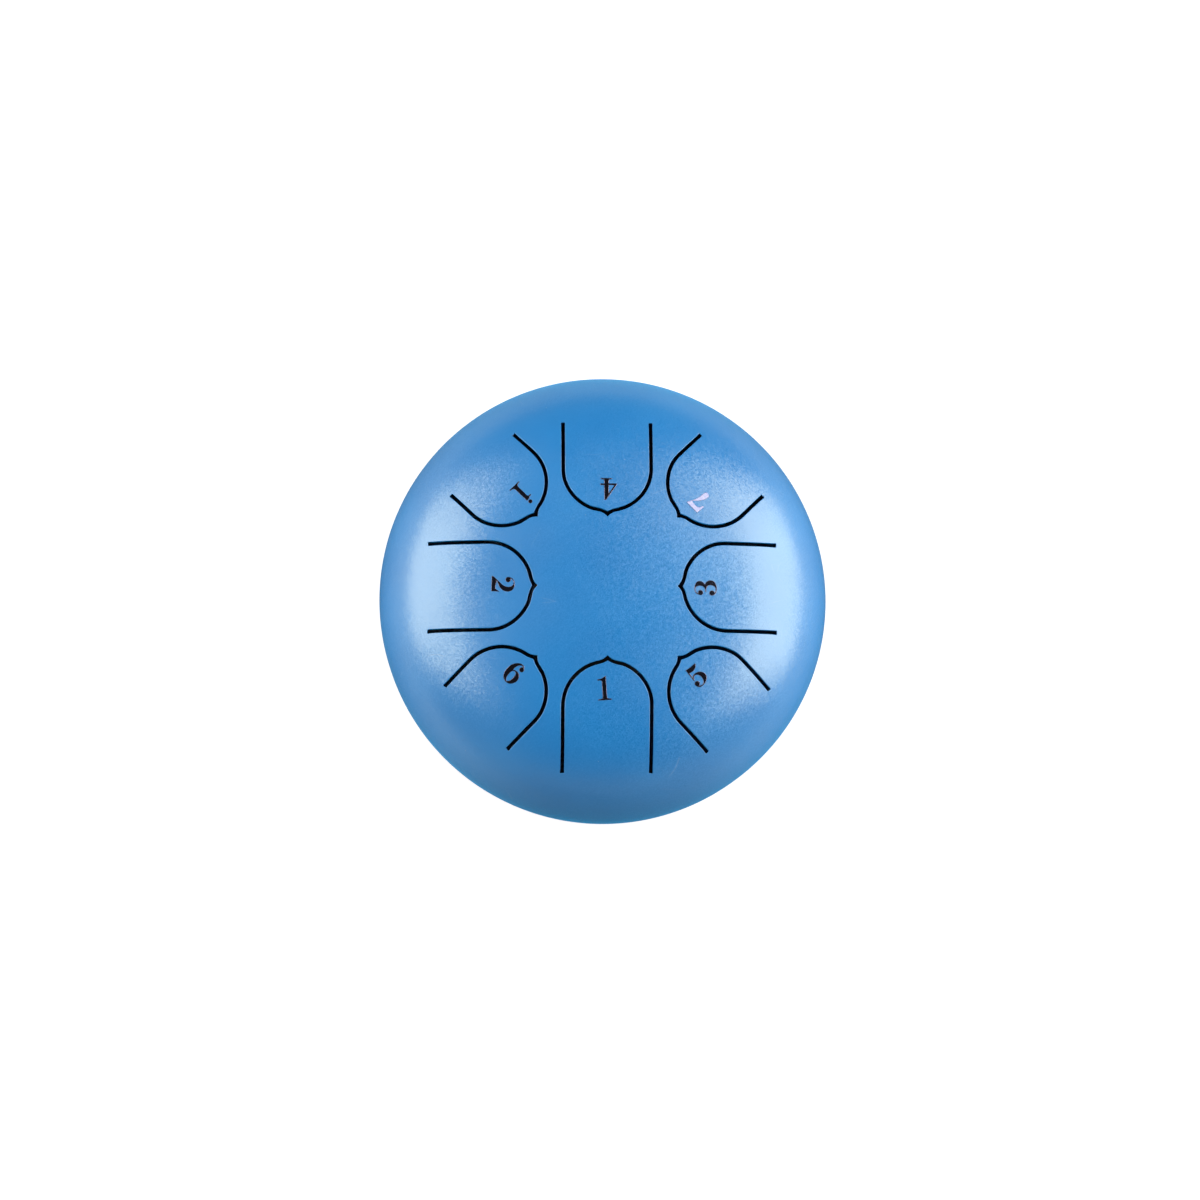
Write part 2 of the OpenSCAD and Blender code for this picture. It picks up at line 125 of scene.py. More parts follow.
def coons(bottom: np.ndarray, top: np.ndarray, left: np.ndarray, right: np.ndarray) -> np.ndarray:
    """A grid of plan points that fills four border curves.

    Each point is the bottom-to-top mix plus the left-to-right mix, less the mix of the corners.

    Args:
        bottom: Border of n points from the left to the right.
        top: Border of n points from the left to the right.
        left: Border of m points from the bottom to the top.
        right: Border of m points from the bottom to the top.

    Returns:
        An array of shape (n, m, 2).
    """
    u = np.linspace(0.0, 1.0, len(bottom))[:, None, None]
    travel = np.linalg.norm(np.diff(left, axis=0), axis=1)
    travel = travel + np.linalg.norm(np.diff(right, axis=0), axis=1)
    v = (np.concatenate([[0.0], np.cumsum(travel)]) / travel.sum())[None, :, None]
    upright = (1 - v) * bottom[:, None] + v * top[:, None]
    across = (1 - u) * left[None] + u * right[None]
    corners = (1 - u) * ((1 - v) * bottom[0] + v * top[0]) + u * ((1 - v) * bottom[-1] + v * top[-1])
    return upright + across - corners


def rounded(corners: Sequence[tuple[float, float, float]], steps: int = 5) -> tuple[np.ndarray, np.ndarray]:
    """A closed outline of straight sides with a fillet at each corner.

    Each fillet is an arc that touches both of its sides, so its normals run on from theirs.

    Args:
        corners: Distance from the axis, height and fillet radius of each corner, anticlockwise.
        steps: Straight steps in each fillet.

    Returns:
        The outline's points and its outward normals, with the first point again at the end.
    """
    values = np.array(corners, float)
    place, radius = values[:, :2], values[:, 2]
    back = unit(np.roll(place, 1, axis=0) - place)
    ahead = unit(np.roll(place, -1, axis=0) - place)
    half = np.arccos(np.clip((back * ahead).sum(axis=1), -1, 1)) / 2
    middle = place + unit(back + ahead) * (radius / np.sin(half))[:, None]
    enter = np.stack([-back[:, 1], back[:, 0]], axis=1)
    leave = np.stack([ahead[:, 1], -ahead[:, 0]], axis=1)
    bends_out = np.sign(enter[:, 0] * leave[:, 1] - enter[:, 1] * leave[:, 0])
    share = np.linspace(0.0, 1.0, steps + 1)[None, :, None]
    normals = unit((1 - share) * enter[:, None] + share * leave[:, None])
    points = middle[:, None] + normals * (radius * bends_out)[:, None, None]
    points, normals = points.reshape(-1, 2), normals.reshape(-1, 2)
    return np.vstack([points, points[:1]]), np.vstack([normals, normals[:1]])


def lathe(profile: np.ndarray, normal: np.ndarray, angles: np.ndarray) -> tuple[np.ndarray, np.ndarray]:
    """Turns a profile and its normals about the Z axis.

    Args:
        profile: Distances from the axis and heights.
        normal: Normals of the profile.
        angles: Angles in radians.

    Returns:
        Grids of points and normals, with the angles along the first axis.
    """
    around = angles[:, None]
    points, normals = (spun(part[:, 0], around, part[:, 1]) for part in (profile, normal))
    return points, normals


def filleted(corners: Sequence[tuple[float, float, float]], steps: int = 5) -> tuple[np.ndarray, np.ndarray]:
    """An open line with fillets, whose first and last corners only give its direction.

    Args:
        corners: Distance from the axis, height and fillet radius of each corner.
        steps: Straight steps in each fillet.

    Returns:
        The points and the normals on the right of the way along the line.
    """
    points, normals = rounded(corners, steps)
    inside = slice(steps + 1, (len(corners) - 1) * (steps + 1))
    return points[inside], normals[inside]


def grid_normals(points: np.ndarray) -> np.ndarray:
    """Normals of a closed ring of profiles: the way round it crossed with the way along it.

    Args:
        points: Grid with the ring along its first axis, and its first row again at the end.

    Returns:
        A grid of the same shape.
    """
    ring = np.concatenate([points[-2:-1], points, points[1:2]])
    around = ring[2:] - ring[:-2]
    return unit(np.cross(around, np.gradient(points, axis=1)))


def quads(grid: np.ndarray) -> np.ndarray:
    """The four corners of each cell of a grid, as an array of shape (cells, 4, 3)."""
    ring = [grid[:-1, :-1], grid[1:, :-1], grid[1:, 1:], grid[:-1, 1:]]
    return np.stack(ring, axis=2).reshape(-1, 4, 3)


def linked(name: str, data: bpy.types.ID) -> bpy.types.Object:
    """A new object for a mesh, lamp or camera, linked to the scene.

    Args:
        name: Name of the object.
        data: What it shows.

    Returns:
        The object, at the origin.
    """
    item = bpy.data.objects.new(name, data)
    bpy.context.scene.collection.objects.link(item)
    return item


class Surface:
    """Grids of points that are gathered into one mesh, with a finish for each grid."""

    def __init__(self) -> None:
        """Starts with no grids."""
        self.corners: list[np.ndarray] = []
        self.normals: list[np.ndarray] = []
        self.finishes: list[np.ndarray] = []

    def add(self, points: np.ndarray, normals: np.ndarray, finish: int = 0) -> None:
        """Adds a grid as quads that are wound to face along its normals.

        Args:
            points: Array of shape (n, m, 3).
            normals: Array of the same shape.
            finish: Place of the grid's finish in the piece's list.
        """
        corner, normal = quads(points), quads(normals)
        facing = np.cross(corner[:, 2] - corner[:, 0], corner[:, 3] - corner[:, 1])
        wrong = (facing * normal.sum(axis=1)).sum(axis=1) < 0
        corner[wrong], normal[wrong] = corner[wrong][:, ::-1], normal[wrong][:, ::-1]
        self.corners.append(corner)
        self.normals.append(normal)
        self.finishes.append(np.full(len(corner), finish))

    def build(self, name: str, finishes: Sequence[bpy.types.Material]) -> bpy.types.Object:
        """Makes the mesh: near points become one, and each quad becomes two triangles.

        Args:
            name: Name of the piece.
            finishes: Its materials.

        Returns:
            The piece, at the origin, with its true normals.
        """
        corner = np.concatenate(self.corners)
        normal = unit(np.concatenate(self.normals))
        keys = np.round(corner.reshape(-1, 3) / MERGE_GRID).astype(np.int64)
        _, first, index = np.unique(keys, axis=0, return_index=True, return_inverse=True)
        index = index.reshape(-1, 4)
        picks = np.array([[0, 1, 2], [0, 2, 3]])
        faces = index[:, picks].reshape(-1, 3)
        face_normals = normal[:, picks].reshape(-1, 3, 3)
        finish = np.repeat(np.concatenate(self.finishes), 2)
        a, b, c = faces.T
        kept = (a != b) & (b != c) & (c != a)
        faces, face_normals, finish = faces[kept], face_normals[kept], finish[kept]
        mesh = bpy.data.meshes.new(name)
        mesh.from_pydata(corner.reshape(-1, 3)[first], [], faces)
        mesh.polygons.foreach_set("material_index", finish.astype(np.int32))
        mesh.polygons.foreach_set("use_smooth", np.ones(len(faces), bool))
        mesh.update()
        mesh.normals_split_custom_set(face_normals.reshape(-1, 3))
        for material in finishes:
            mesh.materials.append(material)
        LOG.info("%s: %d triangles", name, len(faces))
        return linked(name, mesh)


@dataclass(frozen=True)
class Dish:
    """The pressed section: a wide crown that turns into a round shoulder.

    Heights are measured outwards from the level of the shoulder's middle.
    """

    outer_r: float
    shoulder_r: float = 32 * MM
    crown_rise: float = 4 * MM
    sheet_t: float = 1.2 * MM
    eased: tuple[float, float] = (36 * MM, 62 * MM)

    @property
    def shoulder_mid_r(self) -> float:
        """Distance of the shoulder's middle from the axis."""
        return self.outer_r - self.shoulder_r

    @property
    def height(self) -> float:
        """Height of the crown's middle."""
        return self.shoulder_r + self.crown_rise

    @property
    def crown_r(self) -> float:
        """Radius of the crown, which touches the shoulder's arc."""
        rise = self.crown_rise
        return (self.shoulder_mid_r**2 + rise**2) / (2 * rise) + self.shoulder_r

    @property
    def crown_sine(self) -> float:
        """Sine of the slope at which the crown turns into the shoulder."""
        return self.shoulder_mid_r / (self.crown_r - self.shoulder_r)

    def section(self, r: np.ndarray, depth: float) -> tuple[np.ndarray, np.ndarray]:
        """Height and slope of the layer that lies a depth inside the outer face.

        A layer is an arc about the crown's middle, then an arc about the shoulder's middle.

        Args:
            r: Distances from the axis.
            depth: Depth of the layer, square to the sheet.

        Returns:
            The heights, and the sines of the slopes.
        """
        crown, shoulder = self.crown_r - depth, self.shoulder_r - depth
        on_crown = r < crown * self.crown_sine
        sine = np.where(on_crown, r / crown, (r - self.shoulder_mid_r) / shoulder)
        sine = np.clip(sine, -1.0, 1.0)
        cosine = np.sqrt(1 - sine**2)
        height = np.where(on_crown, self.height - self.crown_r + crown * cosine, shoulder * cosine)
        return height, sine

    def eased_sine(self, r: np.ndarray) -> np.ndarray:
        """Sine of the slope that the light sees, where the pressing eases the crown's edge.

        It is the true sine but between two distances, where a cubic leads from one arc's sine
        and rate to the other's.

        Args:
            r: Distances from the axis.

        Returns:
            The sines, in the distances' shape.
        """
        start, end = self.eased
        span = end - start
        t = np.clip((r - start) / span, 0.0, 1.0)
        low, high = start / self.crown_r, (end - self.shoulder_mid_r) / self.shoulder_r
        cubic = (2 * t**3 - 3 * t**2 + 1) * low + (3 * t**2 - 2 * t**3) * high
        cubic = cubic + (t**3 - 2 * t**2 + t) * span / self.crown_r + (t**3 - t**2) * span / self.shoulder_r
        _, true = self.section(r, 0.0)
        return np.where((r > start) & (r < end), cubic, true)


@dataclass(frozen=True)
class Sheet:
    """A dish in its place: a level, and the way that it bulges."""

    dish: Dish
    level: float
    facing: Facing

    def face(self, plan: np.ndarray, layer: Layer) -> tuple[np.ndarray, np.ndarray]:
        """Points and outward normals above or below plan points.

        Args:
            plan: Array whose last axis holds x and y.
            layer: The outer or the inner face of the sheet.

        Returns:
            The points and the normals, with x, y and z on the last axis.
        """
        inner = layer is Layer.INNER
        r = np.linalg.norm(plan, axis=-1)
        height, _ = self.dish.section(r, self.dish.sheet_t if inner else 0.0)
        sine = self.dish.eased_sine(r)
        z = self.level + self.facing.value * height
        away = plan / np.maximum(r, 1e-9)[..., None] * sine[..., None]
        up = self.facing.value * np.sqrt(1 - sine**2)
        normals = np.concatenate([away, up[..., None]], axis=-1)
        return np.concatenate([plan, z[..., None]], axis=-1), -normals if inner else normals

    def wall(self, path: np.ndarray, into: np.ndarray, cut: CutSection) -> tuple[np.ndarray, np.ndarray]:
        """The wall of a cut: the cut's section carried along its path.

        Args:
            path: Plan points of the cut.
            into: Plan normals of the cut, which point into the metal, of any length.
            cut: Section of the metal at the cut.

        Returns:
            Grids of points and normals, with the section along the second axis.
        """
        offset, down, turn, from_inner = cut.rows().T
        plan = path[:, None] + into[:, None] * offset[None, :, None]
        outer, outer_normal = self.face(plan, Layer.OUTER)
        inner, inner_normal = self.face(plan, Layer.INNER)
        pick = from_inner[None, :, None] > 0
        points, face = np.where(pick, inner, outer), np.where(pick, inner_normal, outer_normal)
        sink = self.facing.value * down * np.where(from_inner > 0, 1.0, -1.0)
        points[..., 2] += sink[None]
        side = np.zeros_like(points)
        side[..., :2] = -unit(into)[:, None]
        normals = np.cos(turn)[None, :, None] * face + np.sin(turn)[None, :, None] * side
        return points, unit(normals)

    def cover(self, surface: Surface, plan: np.ndarray) -> None:
        """Adds both faces of the sheet over a grid of plan points."""
        for layer in Layer:
            surface.add(*self.face(plan, layer), layer.value)

    def seat(self, r: float, azimuth: float) -> Matrix:
        """Place on the outer face, with its Z axis along the sheet's outward normal.

        Args:
            r: Distance from the drum's axis.
            azimuth: Angle about it in degrees.

        Returns:
            The place as a matrix.
        """
        height, sine = (float(value) for value in self.dish.section(np.array(r), 0.0))
        turn = np.radians(azimuth)
        away = Vector((np.cos(turn), np.sin(turn), 0.0))
        z = away * sine + Vector((0.0, 0.0, self.facing.value * np.sqrt(1 - sine**2)))
        x = Vector((-away.y, away.x, 0.0)).cross(z)
        seat = Matrix((x, z.cross(x), z)).transposed().to_4x4()
        seat.translation = away * r + Vector((0.0, 0.0, self.level + self.facing.value * height))
        return seat


@dataclass(frozen=True)
class CutSection:
    """Section of the sheet at a laser cut, whose edges the paint has rounded."""

    sheet_t: float
    paint_r: float = 0.14 * MM
    steps: int = 4

    def rows(self) -> np.ndarray:
        """Rows of the section, from the outer face's rounded edge to the inner face's.

        Returns:
            Offset into the metal, depth, turn of the normal and a flag for the inner face.
        """
        turn = np.linspace(0.0, np.pi / 2, self.steps + 1)
        offset = self.paint_r * (1 - np.sin(turn))
        down = self.paint_r * (1 - np.cos(turn))
        outer = np.stack([offset, down, turn, np.zeros_like(turn)], axis=1)
        inner = np.stack([offset, down, turn, np.ones_like(turn)], axis=1)[::-1]
        return np.vstack([outer, inner])


def joined(*runs: np.ndarray) -> np.ndarray:
    """Runs of points as one line, each without its first point but for the first run."""
    return np.vstack([runs[0], *[run[1:] for run in runs[1:]]])


@dataclass(frozen=True)
class SlotPlan:
    """Plan of the slot round one tongue, in the tongue's frame, with +X from tip to root."""

    tip_r: float
    length: float
    half_sector: float
    wall_steps: int
    arc_steps: int
    tongue_w: float = 29.1 * MM
    slot_w: float = 1.27 * MM
    shell_point: tuple[float, float] = (1.45 * MM, 2.7 * MM)
    tongue_point: tuple[float, float] = (0.85 * MM, 3.0 * MM)
    end_r: float = 0.22 * MM
    point_steps: int = 8
    end_steps: int = 4
    jog: float = 0.13 * MM
    jog_back: float = 4.6 * MM
    jog_l: float = 0.25 * MM
    flare: float = 0.09 * MM
    flare_l: float = 0.9 * MM
    fade_l: float = 4 * MM
    split_back: float = 2.2
    mitre_floor: float = 0.4

    @property
    def outer_w(self) -> float:
        """Half width of the slot's outer edge."""
        return (self.tongue_w + self.slot_w) / 2

    @property
    def inner_w(self) -> float:
        """Half width of the slot's inner edge."""
        return (self.tongue_w - self.slot_w) / 2

    @property
    def mid_r(self) -> float:
        """Distance of the middle of the slot's round end from the drum's middle."""
        return self.tip_r + self.shell_point[0] + self.outer_w

    @property
    def end_x(self) -> float:
        """Distance of the slot's two ends from the drum's middle."""
        return self.tip_r + self.length

    @property
    def split_x(self) -> float:
        """Distance of the line on which the tongue's mesh meets the shell's."""
        return self.end_x - self.split_back * self.end_r

    def round_end(self, half_w: float, point: tuple[float, float]) -> np.ndarray:
        """From the point round to the straight side.

        The line is a circle's, less a parabola that draws it out to the point.

        Args:
            half_w: Radius of the round end.
            point: Height and half width of the drawn-out point.

        Returns:
            Points on the +Y side, from the tip on.
        """
        height, width = point
        start = np.arcsin(width / half_w)
        y = np.linspace(0.0, width, self.point_steps + 1)
        x = self.mid_r - np.sqrt(half_w**2 - y**2) - height * (1 - y / width) ** 2
        angle = np.linspace(start, np.pi / 2, self.arc_steps + 1)
        arc = np.stack([self.mid_r - half_w * np.cos(angle), half_w * np.sin(angle)], axis=1)
        return joined(np.stack([x, y], axis=1), arc)

    def shell_side(self) -> np.ndarray:
        """The shell's side of the slot, from the tip round the slot's end to the split.

        Returns:
            Plan points on the +Y side.
        """
        outer, inner, r = self.outer_w, self.inner_w, self.end_r
        wall_x = np.linspace(self.mid_r, self.end_x - r, self.wall_steps + 1)
        wall = np.stack([wall_x, np.full_like(wall_x, outer)], axis=1)
        turn = np.linspace(0.0, np.pi / 2, self.end_steps + 1)
        first = np.stack([self.end_x - r + r * np.sin(turn), outer - r + r * np.cos(turn)], axis=1)
        flat = np.array([[self.end_x, outer - r], [self.end_x, (outer + inner) / 2], [self.end_x, inner + r]])
        last = np.stack([self.end_x - r + r * np.cos(turn), inner + r - r * np.sin(turn)], axis=1)
        split = np.array([[self.end_x - r, inner], [self.split_x, inner]])
        return joined(self.round_end(outer, self.shell_point), wall, first, flat, last, split)

    @property
    def end_index(self) -> int:
        """Place in shell_side of the middle of the slot's end."""
        return self.point_steps + self.arc_steps + self.wall_steps + self.end_steps + 1

    def tongue_side(self) -> np.ndarray:
        """The tongue's side of the slot, from the tip to the split.

        Returns:
            Plan points on the +Y side.
        """
        wall_x = np.linspace(self.mid_r, self.split_x, self.wall_steps + 1)
        wall = np.stack([wall_x, np.full_like(wall_x, self.inner_w)], axis=1)
        return joined(self.round_end(self.inner_w, self.tongue_point), wall)

    def both_sides(self, half: np.ndarray, into_tongue: bool) -> tuple[np.ndarray, np.ndarray]:
        """A whole edge of the slot with its plan normals, from the -Y split to the +Y split.

        Where the laser started, a short way past the tip, its path is out of line by a hair,
        and near its ends the slot is a hair wider.

        Args:
            half: The edge's +Y side, from the tip on.
            into_tongue: True where the metal is the tongue.

        Returns:
            The points, and normals into the metal that are longer at the tip.
        """
        line = np.vstack([(half * [1, -1])[:0:-1], half])
        along = unit(np.diff(line, axis=0))
        normal = np.stack([-along[:, 1], along[:, 0]], axis=1) * (1.0 if not into_tongue else -1.0)
        before, after = np.vstack([normal[:1], normal]), np.vstack([normal, normal[-1:]])
        mean = unit(before + after)
        into = mean / np.maximum((mean * after).sum(axis=1), self.mitre_floor)[:, None]
        outward = mean * (-1.0 if into_tongue else 1.0)
        back = line[:, 1] - self.jog_back
        past = np.clip(back / self.jog_l, 0.0, 1.0)
        fade = np.clip((self.mid_r - line[:, 0]) / self.fade_l, 0.0, 1.0)
        shift = self.jog * past * fade
        off_end = np.abs(line[:, 0] - self.end_x + self.flare_l / 2)
        near_end = np.clip(1 - off_end / self.flare_l, 0.0, 1.0)
        on_wall = np.abs(line[:, 1]) > (self.tongue_w + self.slot_w / 2) / 2
        flare = self.flare * np.sin(np.pi / 2 * near_end) * on_wall * (not into_tongue)
        return line + outward * (shift + flare)[:, None], into


@dataclass
class TonguePlace:
    """Where one tongue lies, and what belongs to it."""

    name: str
    azimuth: float
    slot: SlotPlan

    @property
    def body(self) -> str:
        """Name of the body that the tongue moves with."""
        return f"blade_{self.name}"


@dataclass(frozen=True)
class Layout:
    """The drum's eight tongues: four on the axes and four on the diagonals."""

    tip_r: float = 22.9 * MM
    straight_half: float = 25.0
    straight_steps: tuple[int, int] = (16, 20)
    diagonal_steps: tuple[int, int] = (11, 25)
    straight: tuple[tuple[str, float, float], ...] = (
        ("1", 270, 38 * MM),
        ("2", 180, 36.1 * MM),
        ("3", 0, 33.3 * MM),
        ("4", 90, 32.6 * MM),
    )
    diagonal: tuple[tuple[str, float, float], ...] = (
        ("5", 315, 29.3 * MM),
        ("6", 225, 28.3 * MM),
        ("7", 45, 26.8 * MM),
        ("high_1", 135, 26 * MM),
    )

    def tongues(self) -> list[TonguePlace]:
        """Lays out the tongues, the diagonal tips root two times as far out as the straight ones.

        Returns:
            Each tongue with its slot's plan.
        """
        half, other_half = np.radians(self.straight_half), np.radians(45 - self.straight_half)
        made = []
        for rows, tip_r, sector, steps in (
            (self.straight, self.tip_r, half, self.straight_steps),
            (self.diagonal, self.tip_r * np.sqrt(2), other_half, self.diagonal_steps),
        ):
            for name, azimuth, length in rows:
                made.append(TonguePlace(name, azimuth, SlotPlan(tip_r, length, sector, *steps)))
        return made


@dataclass
class TopShell:
    """Upper shell of the drum, with the eight tongues that are cut out of it."""

    sheet: Sheet
    layout: Layout
    finishes: Sequence[bpy.types.Material]
    skirt_h: float = 2 * MM
    join_r: float = 66 * MM
    middle_r: float = 14 * MM
    hem_r: float = 0.35 * MM
    across: int = 24
    arc_steps: int = 8
    radial_steps: int = 33
    rows: int = 8
    row_power: float = 1.7
    middle_rings: int = 6
    shoulder_steps: int = 28
    hem_steps: int = 5
    bend_l: float = 9 * MM

    @property
    def cut(self) -> CutSection:
        """Section of the sheet along each slot."""
        return CutSection(self.sheet.dish.sheet_t)

    def row_shares(self) -> np.ndarray:
        """Shares of the way from a slot outwards, closer together at the slot."""
        return np.linspace(0.0, 1.0, self.rows + 1) ** self.row_power

    def mouth_angle(self, slot: SlotPlan) -> float:
        """Angle, on the joining circle, of the line that leaves the slot's end."""
        return float(np.arcsin(slot.tongue_w / 2 / self.join_r))

    def arc(self, radius: float, start: float, end: float, steps: int) -> np.ndarray:
        """Plan points on a circle between two angles."""
        return polar(np.full(steps + 1, radius), np.linspace(start, end, steps + 1))

    def add_cap(
        self, surface: Surface, rim: np.ndarray, start: np.ndarray, end: np.ndarray, way: np.ndarray
    ) -> None:
        """Closes the sheet where the tongue's mesh meets the shell's.

        The cap joins the outer face to the inner face along the split, and is hidden in the steel.

        Args:
            surface: Where the cap goes.
            rim: Plan points of the split between the two rounded edges.
            start: Wall points at the split's first end, from the outer face to the inner face.
            end: Wall points at its other end.
            way: Which way the cap faces.
        """
        half = len(start) // 2
        outer, inner = (self.sheet.face(rim[1:-1], layer)[0] for layer in Layer)
        upper = np.vstack([start[:half][::-1], outer, end[:half]])
        lower = np.vstack([start[half:], inner, end[half:][::-1]])
        points = np.stack([upper, lower], axis=1)
        surface.add(points, np.broadcast_to(way, points.shape), 1)

    def edge(self, place: TonguePlace, into_tongue: bool) -> tuple[np.ndarray, np.ndarray]:
        """Plan of one side of a slot, in the tongue's frame.

        Args:
            place: The slot's tongue.
            into_tongue: True for the tongue's side.

        Returns:
            The points, and the normals into the metal.
        """
        slot = place.slot
        half = slot.tongue_side() if into_tongue else slot.shell_side()
        return slot.both_sides(half, into_tongue)

    def add_wall(
        self, surface: Surface, place: TonguePlace, into_tongue: bool
    ) -> tuple[np.ndarray, np.ndarray]:
        """Adds one wall of a slot.

        Args:
            surface: Where the wall goes.
            place: The slot's tongue.
            into_tongue: True for the tongue's side.

        Returns:
            The plan line where the flat face starts, and the wall's points.
        """
        line, into = self.edge(place, into_tongue)
        turn = np.radians(place.azimuth)
        points, normals = self.sheet.wall(turned_plan(line, turn), turned_plan(into, turn), self.cut)
        surface.add(points, normals, 0)
        return line + into * self.cut.paint_r, points

    def add_sector(self, surface: Surface, place: TonguePlace) -> None:
        """Adds the shell round one slot: a field on each side of it and one behind its root.

        Args:
            surface: Where the fields go.
            place: The slot's tongue.
        """
        turn = np.radians(place.azimuth)
        slot, shares = place.slot, self.row_shares()
        line, points = self.add_wall(surface, place, into_tongue=False)
        middle = len(line) // 2
        mouth = self.mouth_angle(slot)
        sides = {}
        for way in (1, -1):
            half = line[middle:] if way > 0 else line[middle::-1]
            outline = half[: slot.end_index + 1][::-1]
            out = self.arc(self.join_r, way * mouth, way * slot.half_sector, self.arc_steps)
            line_r = np.linspace(self.join_r, self.middle_r, self.radial_steps + 1)
            radial = polar(line_r, np.full_like(line_r, way * slot.half_sector))
            home = self.arc(self.middle_r, way * slot.half_sector, 0.0, self.arc_steps)
            far = joined(out, radial, home)
            left, right = (between(outline[k], far[k], shares) for k in (0, -1))
            self.sheet.cover(surface, turned_plan(coons(outline, far, left, right), turn))
            sides[way] = joined(half[slot.end_index :][::-1], left)
        split = between(sides[-1][0], sides[1][0], np.linspace(0, 1, self.across + 1))
        top = self.arc(self.join_r, -mouth, mouth, self.across)
        self.sheet.cover(surface, turned_plan(coons(split, top, sides[-1], sides[1]), turn))
        away = np.array([-np.cos(turn), -np.sin(turn), 0.0])
        self.add_cap(surface, turned_plan(split, turn), points[0], points[-1], away)

    def add_tongue(self, surface: Surface, place: TonguePlace) -> None:
        """Adds a tongue: rows across it from its tip to the split.

        Args:
            surface: Where the tongue goes.
            place: The tongue.
        """
        turn = np.radians(place.azimuth)
        line, points = self.add_wall(surface, place, into_tongue=True)
        middle = len(line) // 2
        right, left = line[middle:], line[middle::-1]
        shares = np.linspace(0.0, 1.0, self.across + 1)[None, :, None]
        plan = left[:, None] + shares * (right - left)[:, None]
        self.sheet.cover(surface, turned_plan(plan, turn))
        toward = np.array([np.cos(turn), np.sin(turn), 0.0])
        self.add_cap(surface, turned_plan(plan[-1], turn), points[0], points[-1], toward)

    def ring_sector(self, slot: SlotPlan) -> np.ndarray:
        """Angles of the joining circle's points over one sector.

        Args:
            slot: The sector's slot.

        Returns:
            The angles from the sector's middle, in radians.
        """
        mouth = self.mouth_angle(slot)
        side = np.linspace(mouth, slot.half_sector, self.arc_steps + 1)
        across = np.linspace(-mouth, mouth, self.across + 1)[1:-1]
        return np.concatenate([-side[::-1], across, side])

    def middle_sector(self, slot: SlotPlan) -> np.ndarray:
        """Angles of the middle circle's points over one sector, from the sector's middle."""
        return np.linspace(-slot.half_sector, slot.half_sector, 2 * self.arc_steps + 1)

    def circle_angles(self, sector: Callable[[SlotPlan], np.ndarray]) -> np.ndarray:
        """Angles of a whole circle's points, sector by sector.

        Args:
            sector: Gives the angles over one sector.

        Returns:
            The angles in radians, with the first again at the end, a turn further on.
        """
        places = sorted(self.layout.tongues(), key=lambda tongue: tongue.azimuth)
        runs = [np.radians(place.azimuth) + sector(place.slot)[:-1] for place in places]
        angles = np.concatenate(runs)
        return np.append(angles, angles[0] + 2 * np.pi)

    def add_middle(self, surface: Surface) -> None:
        """Adds the disc in the middle as rings about the axis.

        Args:
            surface: Where the disc goes.
        """
        radii = np.linspace(self.middle_r, 0.0, self.middle_rings + 1)
        angles = self.circle_angles(self.middle_sector)
        plan = polar(*np.meshgrid(radii, angles, indexing="ij"))
        self.sheet.cover(surface, turned_plan(plan, 0.0))

    def add_shoulder(self, surface: Surface) -> None:
        """Adds the shoulder, the skirt and its rolled hem, turned about the axis.

        Args:
            surface: Where they go.
        """
        dish, level = self.sheet.dish, self.sheet.level
        hem_z = level - self.skirt_h
        runs = []
        for layer in Layer:
            radius = dish.shoulder_r - layer.value * dish.sheet_t
            start = np.arccos((self.join_r - dish.shoulder_mid_r) / radius)
            angle = np.linspace(start, 0.0, self.shoulder_steps + 1)
            way = np.stack([np.cos(angle), np.sin(angle)], axis=1)
            runs.append((np.array([dish.shoulder_mid_r, level]) + radius * way, way))
        turn = np.linspace(0.0, np.pi / 2, self.hem_steps + 1)
        hem_sine, hem_cosine = np.sin(turn), np.cos(turn)
        out = dish.outer_r - self.hem_r
        hem = np.stack([out + self.hem_r * hem_cosine, hem_z + self.hem_r * (1 - hem_sine)], axis=1)
        hem_normal = np.stack([hem_cosine, -hem_sine], axis=1)
        back = dish.outer_r - dish.sheet_t + self.hem_r
        home = np.stack([back - self.hem_r * hem_sine, hem_z + self.hem_r * (1 - hem_cosine)], axis=1)
        home_normal = np.stack([-hem_sine, -hem_cosine], axis=1)
        (outer, outer_normal), (inner, inner_normal) = runs
        front = np.vstack([outer, hem]), np.vstack([outer_normal, hem_normal])
        rear = (
            np.vstack([hem[-1:], home, inner[::-1]]),
            np.vstack([hem_normal[-1:], home_normal, -inner_normal[::-1]]),
        )
        for finish, profile in enumerate((front, rear)):
            surface.add(*lathe(*profile, self.circle_angles(self.ring_sector)), finish)

    def build(self) -> None:
        """Makes the shell and its tongues."""
        shell = Surface()
        for place in self.layout.tongues():
            self.add_sector(shell, place)
        self.add_middle(shell)
        self.add_shoulder(shell)
        piece = shell.build("top_shell_pressing", self.finishes)
        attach(piece, "shell")
        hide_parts("top_shell")
        for place in self.layout.tongues():
            surface = Surface()
            self.add_tongue(surface, place)
            tongue = surface.build(f"tongue_{place.name}_blade", self.finishes)
            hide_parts(f"tongue_{place.name}")
            turn = np.radians([place.azimuth])
            ends = np.array([place.slot.split_x, place.slot.split_x - self.bend_l])
            spots, _ = self.sheet.face(polar(ends, turn), Layer.OUTER)
            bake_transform(tongue)


